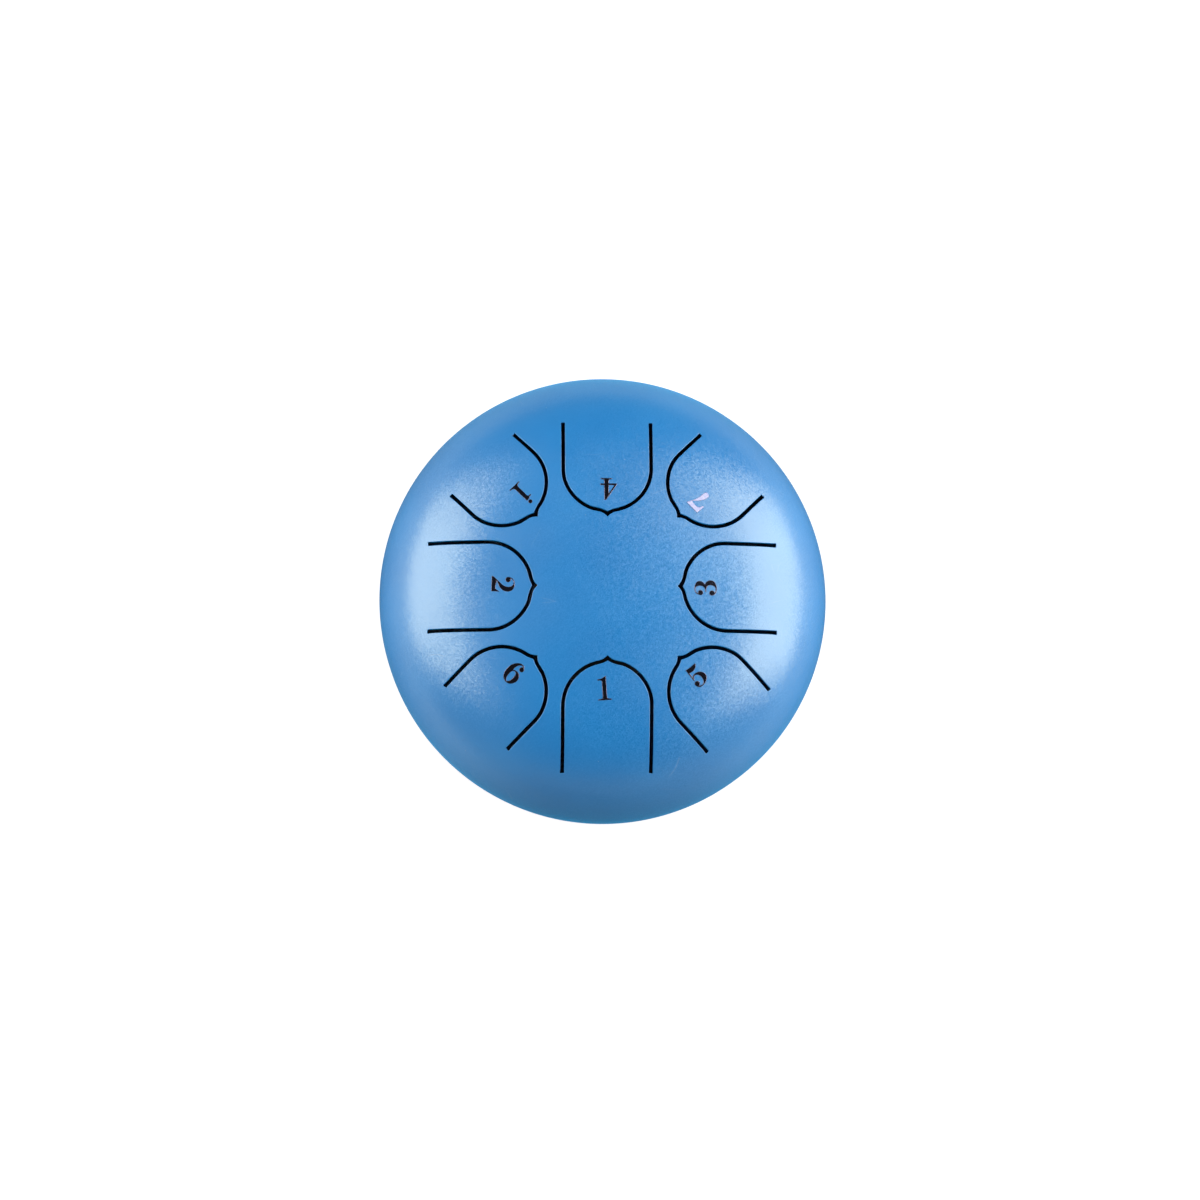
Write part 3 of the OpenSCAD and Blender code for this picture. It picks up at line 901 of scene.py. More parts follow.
@dataclass
class BottomShell:
    """Lower shell: the same dish with a sound hole, three screw holes and a stepped rim."""

    sheet: Sheet
    finishes: Sequence[bpy.types.Material]
    foot_azimuths: tuple[float, ...] = (270.0, 150.0, 30.0)
    foot_r: float = 44 * MM
    hole_r: float = 2.15 * MM
    sound_hole_r: float = 25 * MM
    skirt_h: float = 2 * MM
    step_h: float = 3.2 * MM
    rim_end: float = 6.2 * MM
    rim_outer_r: float = 74.6 * MM
    rim_inner_r: float = 73.4 * MM
    hole_paint_r: float = 0.15 * MM
    window: tuple[int, int] = (36, 52)
    window_half: int = 10
    window_rows: int = 8
    window_power: float = 1.5
    near_steps: int = 8
    far_end: int = 58
    shoulder_steps: int = 24
    rim_split: int = 6

    def profile(self) -> list[tuple[np.ndarray, np.ndarray, int]]:
        """Profile of the shell from the sound hole round the rim and back, in three runs.

        The runs leave out both faces of the window that holds the screw holes.

        Returns:
            Points, normals and place of the finish of each run.
        """
        dish, level = self.sheet.dish, self.sheet.level
        hole_r = self.sound_hole_r + CutSection(dish.sheet_t).paint_r
        near = np.linspace(hole_r, self.window[0] * MM, self.near_steps + 1)
        far = np.arange(self.window[1], self.far_end + 1) * MM
        inner_shoulder = dish.shoulder_r - dish.sheet_t
        faces = {}
        for name, radii in (("near", near), ("far", far)):
            for layer in Layer:
                plan = np.stack([radii, np.zeros_like(radii)], axis=-1)
                points, normals = self.sheet.face(plan, layer)
                faces[name, layer] = points[:, [0, 2]], normals[:, [0, 2]]
        arcs = {}
        for layer, radius in ((Layer.OUTER, dish.shoulder_r), (Layer.INNER, inner_shoulder)):
            start = np.arccos((far[-1] - dish.shoulder_mid_r) / radius)
            angle = np.linspace(start, 0.0, self.shoulder_steps + 1)[1:]
            way = np.stack([np.cos(angle), -np.sin(angle)], axis=1)
            points = np.array([dish.shoulder_mid_r, level]) + radius * way
            arcs[layer] = points, way if layer is Layer.OUTER else -way
        skirt, ledge, top = level + self.skirt_h, level + self.step_h, level + self.rim_end
        wall = dish.outer_r - dish.sheet_t
        rim = filleted([
            (dish.outer_r, level, 0.1 * MM),
            (dish.outer_r, ledge, 0.35 * MM),
            (self.rim_outer_r, ledge, 0.2 * MM),
            (self.rim_outer_r, top, 0.3 * MM),
            (self.rim_inner_r, top, 0.3 * MM),
            (self.rim_inner_r, skirt, 0.5 * MM),
            (wall, skirt, 0.4 * MM),
            (wall, level, 0.1 * MM),
        ])
        cut = self.rim_split
        outer = [faces["far", Layer.OUTER], arcs[Layer.OUTER], tuple(part[:cut] for part in rim)]
        inner = [tuple(part[cut - 1 :] for part in rim)]
        for run in (arcs[Layer.INNER], faces["far", Layer.INNER]):
            inner.append(tuple(part[::-1] for part in run))
        runs = [(*faces["near", Layer.OUTER], 0)]
        for finish, parts in enumerate((outer, inner)):
            runs.append((*(np.vstack([part[k] for part in parts]) for k in (0, 1)), finish))
        runs.append((*(part[::-1] for part in faces["near", Layer.INNER]), 1))
        return runs

    def add_window(self, surface: Surface, azimuth: float) -> None:
        """Adds the part of the sheet round one screw hole.

        Rows lead from the hole's circle straight to the four sides of the window.

        Args:
            surface: Where the part goes.
            azimuth: Angle of the hole in degrees.
        """
        dish = self.sheet.dish
        rows = self.window[1] - self.window[0]
        half = np.radians(self.window_half)
        low, high = np.array(self.window) * MM
        angle = np.linspace(-half, half, 2 * self.window_half + 1)
        radii = np.linspace(low, high, rows + 1)
        frame = joined(
            polar(np.full_like(angle, low), angle),
            polar(radii, np.full_like(radii, half)),
            polar(np.full_like(angle, high), angle[::-1]),
            polar(radii[::-1], np.full_like(radii, -half)),
        )
        slope = self.foot_r / dish.crown_r
        middle = np.array([self.foot_r - dish.sheet_t / 2 * slope, 0.0])
        way = unit(frame - middle)
        cut = CutSection(dish.sheet_t, self.hole_paint_r)
        turn = np.radians(azimuth)
        circle = turned_plan(middle + way * self.hole_r, turn)
        surface.add(*self.sheet.wall(circle, turned_plan(way, turn), cut), 0)
        start = middle + way * (self.hole_r + cut.paint_r)
        shares = np.linspace(0.0, 1.0, self.window_rows + 1)[:, None, None] ** self.window_power
        self.sheet.cover(surface, turned_plan(start + shares * (frame - start), turn))

    def build(self) -> None:
        """Makes the shell."""
        surface = Surface()
        whole = np.radians(np.arange(361.0))
        for points, normals, finish in self.profile():
            surface.add(*lathe(points, normals, whole), finish)
        circle = polar(np.ones_like(whole), whole)
        cut = CutSection(self.sheet.dish.sheet_t)
        surface.add(*self.sheet.wall(circle * self.sound_hole_r, circle, cut), 0)
        radii = np.arange(self.window[0], self.window[1] + 1) * MM
        for azimuth in self.foot_azimuths:
            self.add_window(surface, azimuth)
            start = azimuth + self.window_half
            width = 360 // len(self.foot_azimuths) - 2 * self.window_half
            angles = np.radians(start + np.arange(width + 1))
            self.sheet.cover(surface, polar(*np.meshgrid(radii, angles, indexing="ij")))
        piece = surface.build("bottom_shell_pressing", self.finishes)
        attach(piece, "shell")
        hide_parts("bottom_shell")


@dataclass
class SeamAdhesive:
    """Ring of adhesive in the seam, pressed out a little unevenly."""

    finish: bpy.types.Material
    step_z: float = 46.2 * MM
    seam_z: float = 46.6 * MM
    face_r: float = 75.5 * MM
    skirt_r: float = 74.8 * MM
    rim_r: float = 74.6 * MM
    leg_z: float = 48.6 * MM
    uneven: float = 0.07 * MM
    hidden_r: float = 0.03 * MM
    edge_r: float = 0.06 * MM
    steps: int = 720
    waves: tuple[tuple[int, float, float], ...] = (
        (7, 0.3, 0.4),
        (17, 1.1, 0.3),
        (41, 2.7, 0.2),
        (89, 4.1, 0.15),
        (151, 0.9, 0.1),
    )

    def build(self) -> None:
        """Makes the ring: its profile turned about the axis, with a face that wanders in and out.

        The face's wander is a sum of sines of the angle, with whole numbers of waves.
        """
        points, normals = rounded([
            (self.rim_r, self.step_z, self.hidden_r),
            (self.face_r, self.step_z, self.edge_r * 2),
            (self.face_r, self.seam_z, self.edge_r * 2),
            (self.skirt_r, self.seam_z, self.edge_r),
            (self.skirt_r, self.leg_z, self.hidden_r),
            (self.rim_r, self.leg_z, self.hidden_r),
        ], 4)
        angles = full_turn(self.steps)
        ring, ring_normals = lathe(points, normals, angles)
        wander = sum(size * np.sin(count * angles + start) for count, start, size in self.waves)
        moved = np.clip((points[:, 0] - self.skirt_r) / (self.face_r - self.skirt_r), 0, 1)
        away = self.uneven * wander[:, None] * moved[None]
        ring[..., :2] += away[..., None] * polar(np.ones_like(angles), angles)[:, None]
        surface = Surface()
        surface.add(ring, ring_normals)
        piece = surface.build("seam_adhesive_bead", [self.finish])
        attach(piece, "shell")
        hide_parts("seam_adhesive")


def profile_rows(radius: Any, shell: float, ground: float, height: Any) -> np.ndarray:
    """Rows of distance, share of the shell's height, share of the ground's, and height."""
    return np.column_stack(np.broadcast_arrays(np.atleast_1d(radius), shell, ground, height))


def placed(points: np.ndarray, normals: np.ndarray, seat: Matrix) -> tuple[np.ndarray, np.ndarray]:
    """Points and normals moved from a place's own frame to the drum's."""
    turn = np.array(seat.to_3x3())
    return points @ turn.T + np.array(seat.translation), normals @ turn.T


@dataclass
class Magnet:
    """A round tuning magnet under a tongue."""

    sheet: Sheet
    place: TonguePlace
    finish: bpy.types.Material
    back: float = 9 * MM
    radius: float = 4 * MM
    height: float = 3 * MM
    edge_r: float = 0.3 * MM
    seat_gap: float = 0.04 * MM
    around: int = 96

    def build(self) -> None:
        """Turns a rounded outline about the magnet's own axis."""
        away = self.place.slot.tip_r + self.back
        ball = self.sheet.dish.crown_r - self.sheet.dish.sheet_t
        top = -self.sheet.dish.sheet_t - (ball - np.sqrt(ball**2 - self.radius**2)) - self.seat_gap
        low = top - self.height
        points, normals = filleted([
            (-self.radius, low, self.edge_r),
            (self.radius, low, self.edge_r),
            (self.radius, top, self.edge_r),
            (-self.radius, top, self.edge_r),
        ], 6)
        axis = [np.array([[0.0, z]]) for z in (low, top)]
        points = np.vstack([axis[0], points, axis[1]])
        normals = np.vstack([[[0.0, -1.0]], normals, [[0.0, 1.0]]])
        ring = lathe(points, normals, full_turn(self.around))
        surface = Surface()
        surface.add(*placed(*ring, self.sheet.seat(away, self.place.azimuth)))
        piece = surface.build(f"magnet_{self.place.name}_plated", [self.finish])
        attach(piece, self.place.body)
        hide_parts(f"magnet_{self.place.name}")


@dataclass
class Foot:
    """A rubber foot with its screw, washer and nut, in a frame with +Z down along the screw."""

    sheet: Sheet
    number: int
    azimuth: float
    rubber: bpy.types.Material
    steel: bpy.types.Material
    foot_r: float = 44 * MM
    top_r: float = 8 * MM
    sole_r: float = 6.5 * MM
    web: float = 4 * MM
    bore_r: float = 2.15 * MM
    counterbore_r: float = 4.1 * MM
    screw_r: float = 2 * MM
    pitch: float = 0.7 * MM
    thread_depth: float = 0.38 * MM
    head_r: float = 3.7 * MM
    head_h: float = 2.4 * MM
    screw_end: float = 1.2 * MM
    washer_r: float = 4.5 * MM
    washer_t: float = 0.8 * MM
    nut_w: float = 7 * MM
    nut_h: float = 3.2 * MM
    seat_gap: float = 0.04 * MM
    around: int = 96
    rim_round: float = 0.35 * MM
    sole_round: float = 0.9 * MM
    well_round: float = 0.3 * MM
    bulge: float = 0.12 * MM
    run_out_l: float = 1.2 * MM
    tip_l: float = 0.5 * MM
    tip_in: float = 0.45 * MM
    head_round: float = 0.8 * MM
    head_chamfer: float = 0.15 * MM
    dome_h: float = 0.45 * MM
    cross_half: tuple[float, float] = (2.15 * MM, 0.62 * MM)
    cross_slope: tuple[float, float] = (0.45 * MM, 0.22 * MM)
    cross_depth: float = 1.25 * MM
    washer_edge: float = 0.12 * MM
    nut_play: float = 0.08 * MM
    nut_in: float = 0.1 * MM
    nut_sink: float = 0.35 * MM

    @property
    def seat(self) -> Matrix:
        """Frame of the foot on the shell's outer face."""
        return self.sheet.seat(self.foot_r, self.azimuth)

    @property
    def washer_seat(self) -> float:
        """Depth of the washer's near face, which spans the curve of the sheet's inner face."""
        ball = self.sheet.dish.crown_r - self.sheet.dish.sheet_t
        return self.sheet.dish.sheet_t + ball - np.sqrt(ball**2 - self.washer_r**2) + self.seat_gap

    def finished(self, surface: Surface, name: str, finish: bpy.types.Material, slot: str) -> None:
        """Makes a piece that stands for one node and rides on the shell.

        Args:
            surface: The piece's grids.
            name: Name of the node without its number.
            finish: The piece's material.
            slot: The record's slot for it.
        """
        kind = "rubber" if slot == "foot_rubber" else "steel"
        piece = surface.build(f"{name}_{self.number}_{kind}", [finish])
        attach(piece, "shell")
        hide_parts(f"{name}_{self.number}")

    def heights(self, plan: np.ndarray) -> tuple[np.ndarray, np.ndarray]:
        """Distances along the screw to the shell's face and to the ground, over local plan points.

        The first is found by stepping along the axis by the height that is still missing.

        Args:
            plan: Points in the foot's own frame.

        Returns:
            Both distances, in the points' shape.
        """
        turn, origin = np.array(self.seat.to_3x3()), np.array(self.seat.translation)
        flat = plan @ turn[:, :2].T + origin
        axis = turn[:, 2]
        top = np.zeros(plan.shape[:-1])
        for _ in range(8):
            place = flat + top[..., None] * axis
            shell, _ = self.sheet.face(place[..., :2], Layer.OUTER)
            top += (place[..., 2] - shell[..., 2]) * -axis[2]
        return top, -flat[..., 2] / axis[2]

    def build_foot(self) -> None:
        """Makes the rubber: a ring of profiles between the curved shell and the level ground.

        Each profile point is a distance from the axis and a height that is measured from the
        shell, from the ground or from the frame, by its shares of these.
        """
        rim, sole, well = self.rim_round, self.sole_round, self.well_round
        turn = np.linspace(0, np.pi / 2, 7)
        s, c = np.sin(turn), np.cos(turn)
        bore, well_r = self.bore_r, self.counterbore_r
        rows = [
            profile_rows(np.linspace(bore, self.top_r - rim, 9), 1, 0, 0.0),
            profile_rows(self.top_r - rim * (1 - s), 1, 0, rim * (1 - c)),
        ]
        for share in np.linspace(0, 1, 14)[1:-1]:
            out = self.bulge * np.sin(np.pi * share)
            radius = self.top_r + share * (self.sole_r - self.top_r) + out
            rows.append(profile_rows(radius, 1 - share, share, rim * (1 - share) - sole * share))
        rows += [
            profile_rows(self.sole_r - sole * (1 - c), 0, 1, -sole * (1 - s)),
            profile_rows(np.linspace(self.sole_r - sole, well_r + well, 5)[1:], 0, 1, 0.0),
            profile_rows(well_r + well * (1 - s), 0, 1, -well * (1 - c)),
        ]
        for share in np.linspace(0, 1, 6)[1:-1]:
            height = -well * (1 - share) + self.web * share
            rows.append(profile_rows(well_r, 0, 1 - share, height))
        rows += [
            profile_rows(well_r - well * (1 - c), 0, 0, self.web + well * (1 - s)),
            profile_rows(np.linspace(well_r - well, bore, 4)[1:], 0, 0, self.web),
            profile_rows(bore, 0, 0, np.linspace(self.web, well, 6)[1:]),
            rows[0][:1],
        ]
        table = np.vstack(rows)
        angle = full_turn(self.around)
        plan = polar(table[None, :, 0], angle[:, None])
        top, ground = self.heights(plan)
        height = table[:, 1] * top + table[:, 2] * ground + table[:, 3]
        points = np.concatenate([plan, height[..., None]], axis=-1)
        surface = Surface()
        surface.add(*placed(points, grid_normals(points), self.seat))
        self.finished(surface, "foot", self.rubber, "foot_rubber")

    def trough(self, along: np.ndarray, aside: np.ndarray) -> np.ndarray:
        """Depth of one arm of the cross, which slopes up at its ends and at its sides.

        Args:
            along: Distances along the arm from the middle.
            aside: Distances across it.

        Returns:
            Shares of the cross's depth, from 0 to 1.
        """
        reach, narrow = (
            np.clip((half - np.abs(part)) / slope, 0, 1)
            for part, half, slope in zip((along, aside), self.cross_half, self.cross_slope)
        )
        return reach * narrow

    def build_screw(self) -> None:
        """Makes the screw: a threaded shank and a domed head with a tapered cross in it.

        The shank's radius falls and rises with the height less the turn, once in each pitch.
        The head's height is a flat dome less the deeper of two crossed troughs.
        """
        angle = full_turn(self.around)[:, None]
        end = -self.washer_seat - self.washer_t - self.nut_h - self.screw_end
        z = np.linspace(end, self.web, 170)[None]
        wave = np.abs(2 * ((z / self.pitch - angle / (2 * np.pi)) % 1.0) - 1)
        cut = self.thread_depth * np.clip(1.25 * wave - 0.12, 0, 1)
        run_out = np.clip((self.web - z) / self.run_out_l, 0, 1)
        taper = np.clip((end + self.tip_l - z) / self.tip_l, 0, 1) * self.tip_in
        radius = self.screw_r - cut * run_out - taper
        shank = spun(radius, angle, z)
        tip = shank[:, :1] * np.array([0.0, 0.0, 1.0])
        surface = Surface()
        surface.add(*placed(shank, grid_normals(shank), self.seat))
        cap = np.concatenate([tip, shank[:, :1]], axis=1)
        surface.add(*placed(cap, np.broadcast_to([0.0, 0.0, -1.0], cap.shape), self.seat))
        corner, chamfer = self.head_round, self.head_chamfer
        low_h = self.head_h - self.dome_h
        turn = np.linspace(0, np.pi / 2, 8)
        under = np.array([[self.screw_r * 0.9, 0.0], [self.head_r - chamfer, 0.0], [self.head_r, chamfer]])
        side_r = self.head_r - corner * (1 - np.cos(turn))
        side = np.stack([side_r, low_h - corner * (1 - np.sin(turn))], axis=1)
        inner = np.linspace(self.head_r - corner, 0.0, 56)[1:]
        crown = np.stack([inner, np.full_like(inner, low_h)], axis=1)
        profile = np.vstack([under, side, crown])
        rho = profile[:, 0][None]
        x, y = rho * np.cos(angle), rho * np.sin(angle)
        dome = self.dome_h * (1 - (rho / (self.head_r - corner)) ** 2).clip(0, 1)
        on_top = np.arange(len(profile))[None] >= len(under) + len(side)
        deep = self.cross_depth * np.maximum(self.trough(x, y), self.trough(y, x)) * on_top
        height = self.web + profile[:, 1][None] + dome * on_top - deep
        head = np.stack([x, y, np.broadcast_to(height, x.shape)], axis=-1)
        surface.add(*placed(head, grid_normals(head), self.seat))
        self.finished(surface, "foot_screw", self.steel, "zinc_steel")

    def build_washer(self) -> None:
        """Turns the washer's rounded outline about the screw."""
        top = -self.washer_seat
        low, edge = top - self.washer_t, self.washer_edge
        outline = [(self.bore_r, low), (self.washer_r, low), (self.washer_r, top), (self.bore_r, top)]
        ring = lathe(*rounded([(*corner, edge) for corner in outline], 3), full_turn(self.around))
        surface = Surface()
        surface.add(*placed(*ring, self.seat))
        self.finished(surface, "foot_washer", self.steel, "zinc_steel")

    def build_nut(self) -> None:
        """Makes the nut flat by flat: each side is cut off by a cone at both ends.

        A flat lies half the width across from the axis, and the cone falls by tan 30 degrees.
        """
        top = -self.washer_seat - self.washer_t
        low, bore = top - self.nut_h, self.screw_r + self.nut_play
        surface = Surface()
        apothem, sink = self.nut_w / 2, self.nut_sink
        start = apothem - self.nut_in
        for side in range(6):
            angle = np.radians(60 * side + np.linspace(-30, 30, 13))[:, None]
            reach = apothem / np.cos(angle - np.radians(60 * side))
            drop = (reach - start) * np.tan(np.radians(30))
            radii = (bore, bore + sink, start, reach, reach, start, bore + sink, bore, bore)
            levels = (low + sink, low, low, low + drop, top - drop, top, top, top - sink, low + sink)
            radius, height = (
                np.concatenate([np.broadcast_to(part, reach.shape) for part in parts], axis=1)
                for parts in (radii, levels)
            )
            points = spun(radius, angle, height)
            for k in range(points.shape[1] - 1):
                strip = points[:, k : k + 2]
                along = np.gradient(strip, axis=0)
                across = np.repeat(strip[:, 1:] - strip[:, :1], 2, axis=1)
                surface.add(*placed(strip, unit(np.cross(along, across)), self.seat))
        self.finished(surface, "foot_nut", self.steel, "zinc_steel")

    def build(self) -> None:
        """Makes the foot and its fasteners."""
        self.build_foot()
        self.build_screw()
        self.build_washer()
        self.build_nut()


class Nodes:
    """A node tree with short ways to add and link its nodes."""

    def __init__(self, tree: bpy.types.NodeTree) -> None:
        """Starts on an empty tree."""
        self.tree = tree
        tree.nodes.clear()

    def add(self, kind: str, values: dict[str | int, Any] | None = None, **settings: Any) -> bpy.types.Node:
        """Adds a node.

        Args:
            kind: Blender's name for the node's kind.
            values: What fills or links its inputs.
            **settings: Its options.

        Returns:
            The node.
        """
        node = self.tree.nodes.new(kind)
        for key, value in settings.items():
            setattr(node, key, value)
        for key, value in (values or {}).items():
            self.put(node.inputs[key], value)
        return node

    def put(self, socket: bpy.types.NodeSocket, value: Any) -> None:
        """Fills an input.

        Args:
            socket: The input.
            value: A socket that is linked to it, or a plain value.
        """
        if isinstance(value, bpy.types.NodeSocket):
            self.tree.links.new(value, socket)
        else:
            socket.default_value = value

    def math(self, operation: str, a: Any, b: Any = 0.0, c: Any = 0.0) -> bpy.types.NodeSocket:
        """Result of a Math node."""
        return self.add("ShaderNodeMath", {0: a, 1: b, 2: c}, operation=operation).outputs[0]

    def vector(self, operation: str, a: Any, b: Any = None, scale: Any = None) -> bpy.types.NodeSocket:
        """Result of a Vector Math node.

        Args:
            operation: What it works out.
            a: First vector.
            b: Second vector, where the operation has one.
            scale: Number that scales the vector, where the operation has one.

        Returns:
            The number that a length or a dot product gives, or else the vector.
        """
        given = {0: a, 1: b, "Scale": scale}
        values = {key: value for key, value in given.items() if value is not None}
        node = self.add("ShaderNodeVectorMath", values, operation=operation)
        return node.outputs["Value" if operation in ("LENGTH", "DOT_PRODUCT") else "Vector"]

    def spread(
        self, value: Any, low: float, high: float, start: float = 0.0, end: float = 1.0
    ) -> bpy.types.NodeSocket:
        """A value moved from low to high onto start to end, and held there."""
        values = {"Value": value, "From Min": low, "From Max": high, "To Min": start, "To Max": end}
        return self.add("ShaderNodeMapRange", values, clamp=True).outputs["Result"]

    def mix(self, share: Any, a: Any, b: Any, blend: str = "MIX") -> bpy.types.NodeSocket:
        """Mix of two colours.

        Args:
            share: Share of the second colour.
            a: First colour.
            b: Second colour.
            blend: How they mix.

        Returns:
            The mixed colour.
        """
        node = self.add("ShaderNodeMix", data_type="RGBA", blend_type=blend)
        colours = [socket for socket in node.inputs if socket.type == "RGBA"]
        for socket, value in zip((node.inputs["Factor"], *colours), (share, a, b)):
            self.put(socket, value)
        return next(s for s in node.outputs if s.type == "RGBA")

    def noise(
        self, place: Any, scale: float, detail: float = 2.0, rough: float = 0.5
    ) -> bpy.types.NodeSocket:
        """Value of a noise at a number of waves to the metre."""
        values = {"Vector": place, "Scale": scale, "Detail": detail, "Roughness": rough}
        return self.add("ShaderNodeTexNoise", values).outputs[0]

    def bump(self, height: Any, depth: float, normal: Any = None) -> bpy.types.NodeSocket:
        """Normal of a surface that a height from 0 to 1 raises by a depth.

        Args:
            height: The height.
            depth: The depth in metres.
            normal: The surface's own normal, where it isn't the mesh's.

        Returns:
            The bent normal.
        """
        values = {"Height": height, "Distance": depth, "Strength": 1.0}
        if normal is not None:
            values["Normal"] = normal
        return self.add("ShaderNodeBump", values).outputs[0]


def srgb(red: int, green: int, blue: int) -> tuple[float, float, float, float]:
    """A colour from its screen values, as linear light.

    Args:
        red: Red from 0 to 255.
        green: Green from 0 to 255.
        blue: Blue from 0 to 255.

    Returns:
        Red, green and blue from 0 to 1, and an alpha of 1.
    """
    share = np.array([red, green, blue]) / 255
    linear = np.where(share <= 0.04045, share / 12.92, ((share + 0.055) / 1.055) ** 2.4)
    return (*linear.tolist(), 1.0)


def new_group(name: str, inputs: dict[str, str], outputs: dict[str, str]) -> tuple[Nodes, Any, Any]:
    """A shader node group with named inputs and outputs.

    Args:
        name: Name of the group.
        inputs: Name and kind of each input.
        outputs: Name and kind of each output.

    Returns:
        The group's nodes, its input sockets and its output node.
    """
    tree = bpy.data.node_groups.new(name, "ShaderNodeTree")
    for way, sockets in (("INPUT", inputs), ("OUTPUT", outputs)):
        for socket, kind in sockets.items():
            tree.interface.new_socket(socket, in_out=way, socket_type=f"NodeSocket{kind}")
    nodes = Nodes(tree)
    return nodes, nodes.add("NodeGroupInput").outputs, nodes.add("NodeGroupOutput").inputs


@dataclass
class SharedEffects:
    """Node groups that more than one finish uses, each built once."""

    groups: dict[str, bpy.types.NodeTree] = field(default_factory=dict)

    def pearl_flakes(self) -> bpy.types.NodeTree:
        """Flakes of pearl pigment that lie at small angles of their own.

        Each cell of a Voronoi pattern is one flake. Its random colour, less one half, is the
        lean of the flake, and one channel of it says how brightly the flake shines.

        Returns:
            The group's tree.
        """
        nodes, given, out = new_group(
            "pearl_flakes",
            {"Place": "Vector", "Per Metre": "Float", "Lean": "Float"},
            {"Normal": "Vector", "Shine": "Float", "Pink": "Float"},
        )
        wander = nodes.add("ShaderNodeTexNoise", {"Vector": given["Place"], "Scale": 900.0, "Detail": 1.0})
        shift = nodes.vector("SCALE", wander.outputs["Color"], scale=0.0004)
        values = {"Vector": nodes.vector("ADD", given["Place"], shift), "Scale": given["Per Metre"]}
        cells = nodes.add("ShaderNodeTexVoronoi", values).outputs["Color"]
        lean = nodes.vector("SUBTRACT", cells, (0.5, 0.5, 0.5))
        lean = nodes.vector("SCALE", lean, scale=given["Lean"])
        true = nodes.add("ShaderNodeNewGeometry").outputs["Normal"]
        parts = nodes.add("ShaderNodeSeparateColor", {0: cells}).outputs
        nodes.put(out["Normal"], nodes.vector("NORMALIZE", nodes.vector("ADD", true, lean)))
        nodes.put(out["Shine"], parts[0])
        nodes.put(out["Pink"], parts[2])
        return nodes.tree

    def handling_marks(self) -> bpy.types.NodeTree:
        """Marks of handling: soft smudges, broken hairlines and grains of dust.

        A hairline is the thin edge between two wide Voronoi cells, kept where a noise is high.

        Returns:
            The group's tree.
        """
        nodes, given, out = new_group(
            "handling_marks",
            {"Place": "Vector", "Hairlines": "Float"},
            {"Smudge": "Float", "Hairline": "Float", "Dust": "Float"},
        )
        place = given["Place"]
        smudge = nodes.spread(nodes.noise(place, 38.0, 5.0, 0.62), 0.45, 0.72)
        values = {"Vector": place, "Scale": 22.0, "Detail": 1.0}
        bend = nodes.add("ShaderNodeTexNoise", values).outputs["Color"]
        moved = nodes.vector("ADD", place, nodes.vector("SCALE", bend, scale=0.012))
        values = {"Vector": moved, "Scale": 64.0}
        edge = nodes.add("ShaderNodeTexVoronoi", values, feature="DISTANCE_TO_EDGE").outputs["Distance"]
        thin = nodes.spread(edge, 0.0, 0.0045, 1.0, 0.0)
        kept = nodes.spread(nodes.noise(place, 75.0, 2.0), 0.6, 0.66)
        line = nodes.math("MULTIPLY", nodes.math("MULTIPLY", thin, kept), given["Hairlines"])
        grains = nodes.add("ShaderNodeTexVoronoi", {"Vector": place, "Scale": 210.0})
        near = nodes.spread(grains.outputs["Distance"], 0.03, 0.05, 1.0, 0.0)
        rare = nodes.add("ShaderNodeSeparateColor", {0: grains.outputs["Color"]}).outputs[1]
        dust = nodes.math("MULTIPLY", near, nodes.math("GREATER_THAN", rare, 0.86))
        nodes.put(out["Smudge"], smudge)
        nodes.put(out["Hairline"], line)
        nodes.put(out["Dust"], dust)
        return nodes.tree

    def fine_grain(self) -> bpy.types.NodeTree:
        """Small unevenness of a sprayed, plated or moulded face: a noise and a finer one.

        Returns:
            The group's tree.
        """
        nodes, given, out = new_group(
            "fine_grain",
            {"Place": "Vector", "Per Metre": "Float"},
            {"Height": "Float", "Fine": "Float"},
        )
        coarse = nodes.noise(given["Place"], given["Per Metre"], 1.0)
        finer = nodes.noise(given["Place"], nodes.math("MULTIPLY", given["Per Metre"], 4.0), 2.0, 0.6)
        nodes.put(out["Height"], coarse)
        nodes.put(out["Fine"], finer)
        return nodes.tree

    def use(self, nodes: Nodes, name: str, **values: Any) -> bpy.types.NodeOutputs:
        """Places a group in a material, and builds it at its first use.

        Args:
            nodes: The material's nodes.
            name: Name of the group, which is that of the method that builds it.
            **values: Its inputs, in lower case.

        Returns:
            Its outputs.
        """
        if name not in self.groups:
            self.groups[name] = getattr(self, name)()
        node = nodes.add("ShaderNodeGroup", node_tree=self.groups[name])
        for key, value in values.items():
            nodes.put(node.inputs[key.replace("_", " ").title()], value)
        return node.outputs


class Finish:
    """A finish that makes one material with one Principled shader."""

    name: str

    def shader(self, nodes: Nodes, place: bpy.types.NodeSocket, effects: SharedEffects) -> dict[str, Any]:
        """Values of the Principled shader's inputs.

        Args:
            nodes: The material's nodes.
            place: Object coordinates.
            effects: The shared node groups.

        Returns:
            A value or a socket for each input.
        """
        raise NotImplementedError

    def material(self, effects: SharedEffects) -> bpy.types.Material:
        """Makes the material from the finish's values.

        Args:
            effects: The shared node groups.

        Returns:
            The material.
        """
        material = bpy.data.materials.new(self.name)
        material.use_nodes = True
        nodes = Nodes(material.node_tree)
        place = nodes.add("ShaderNodeTexCoord").outputs["Object"]
        shader = nodes.add("ShaderNodeBsdfPrincipled", self.shader(nodes, place, effects))
        nodes.add("ShaderNodeOutputMaterial", {"Surface": shader.outputs[0]})
        return material


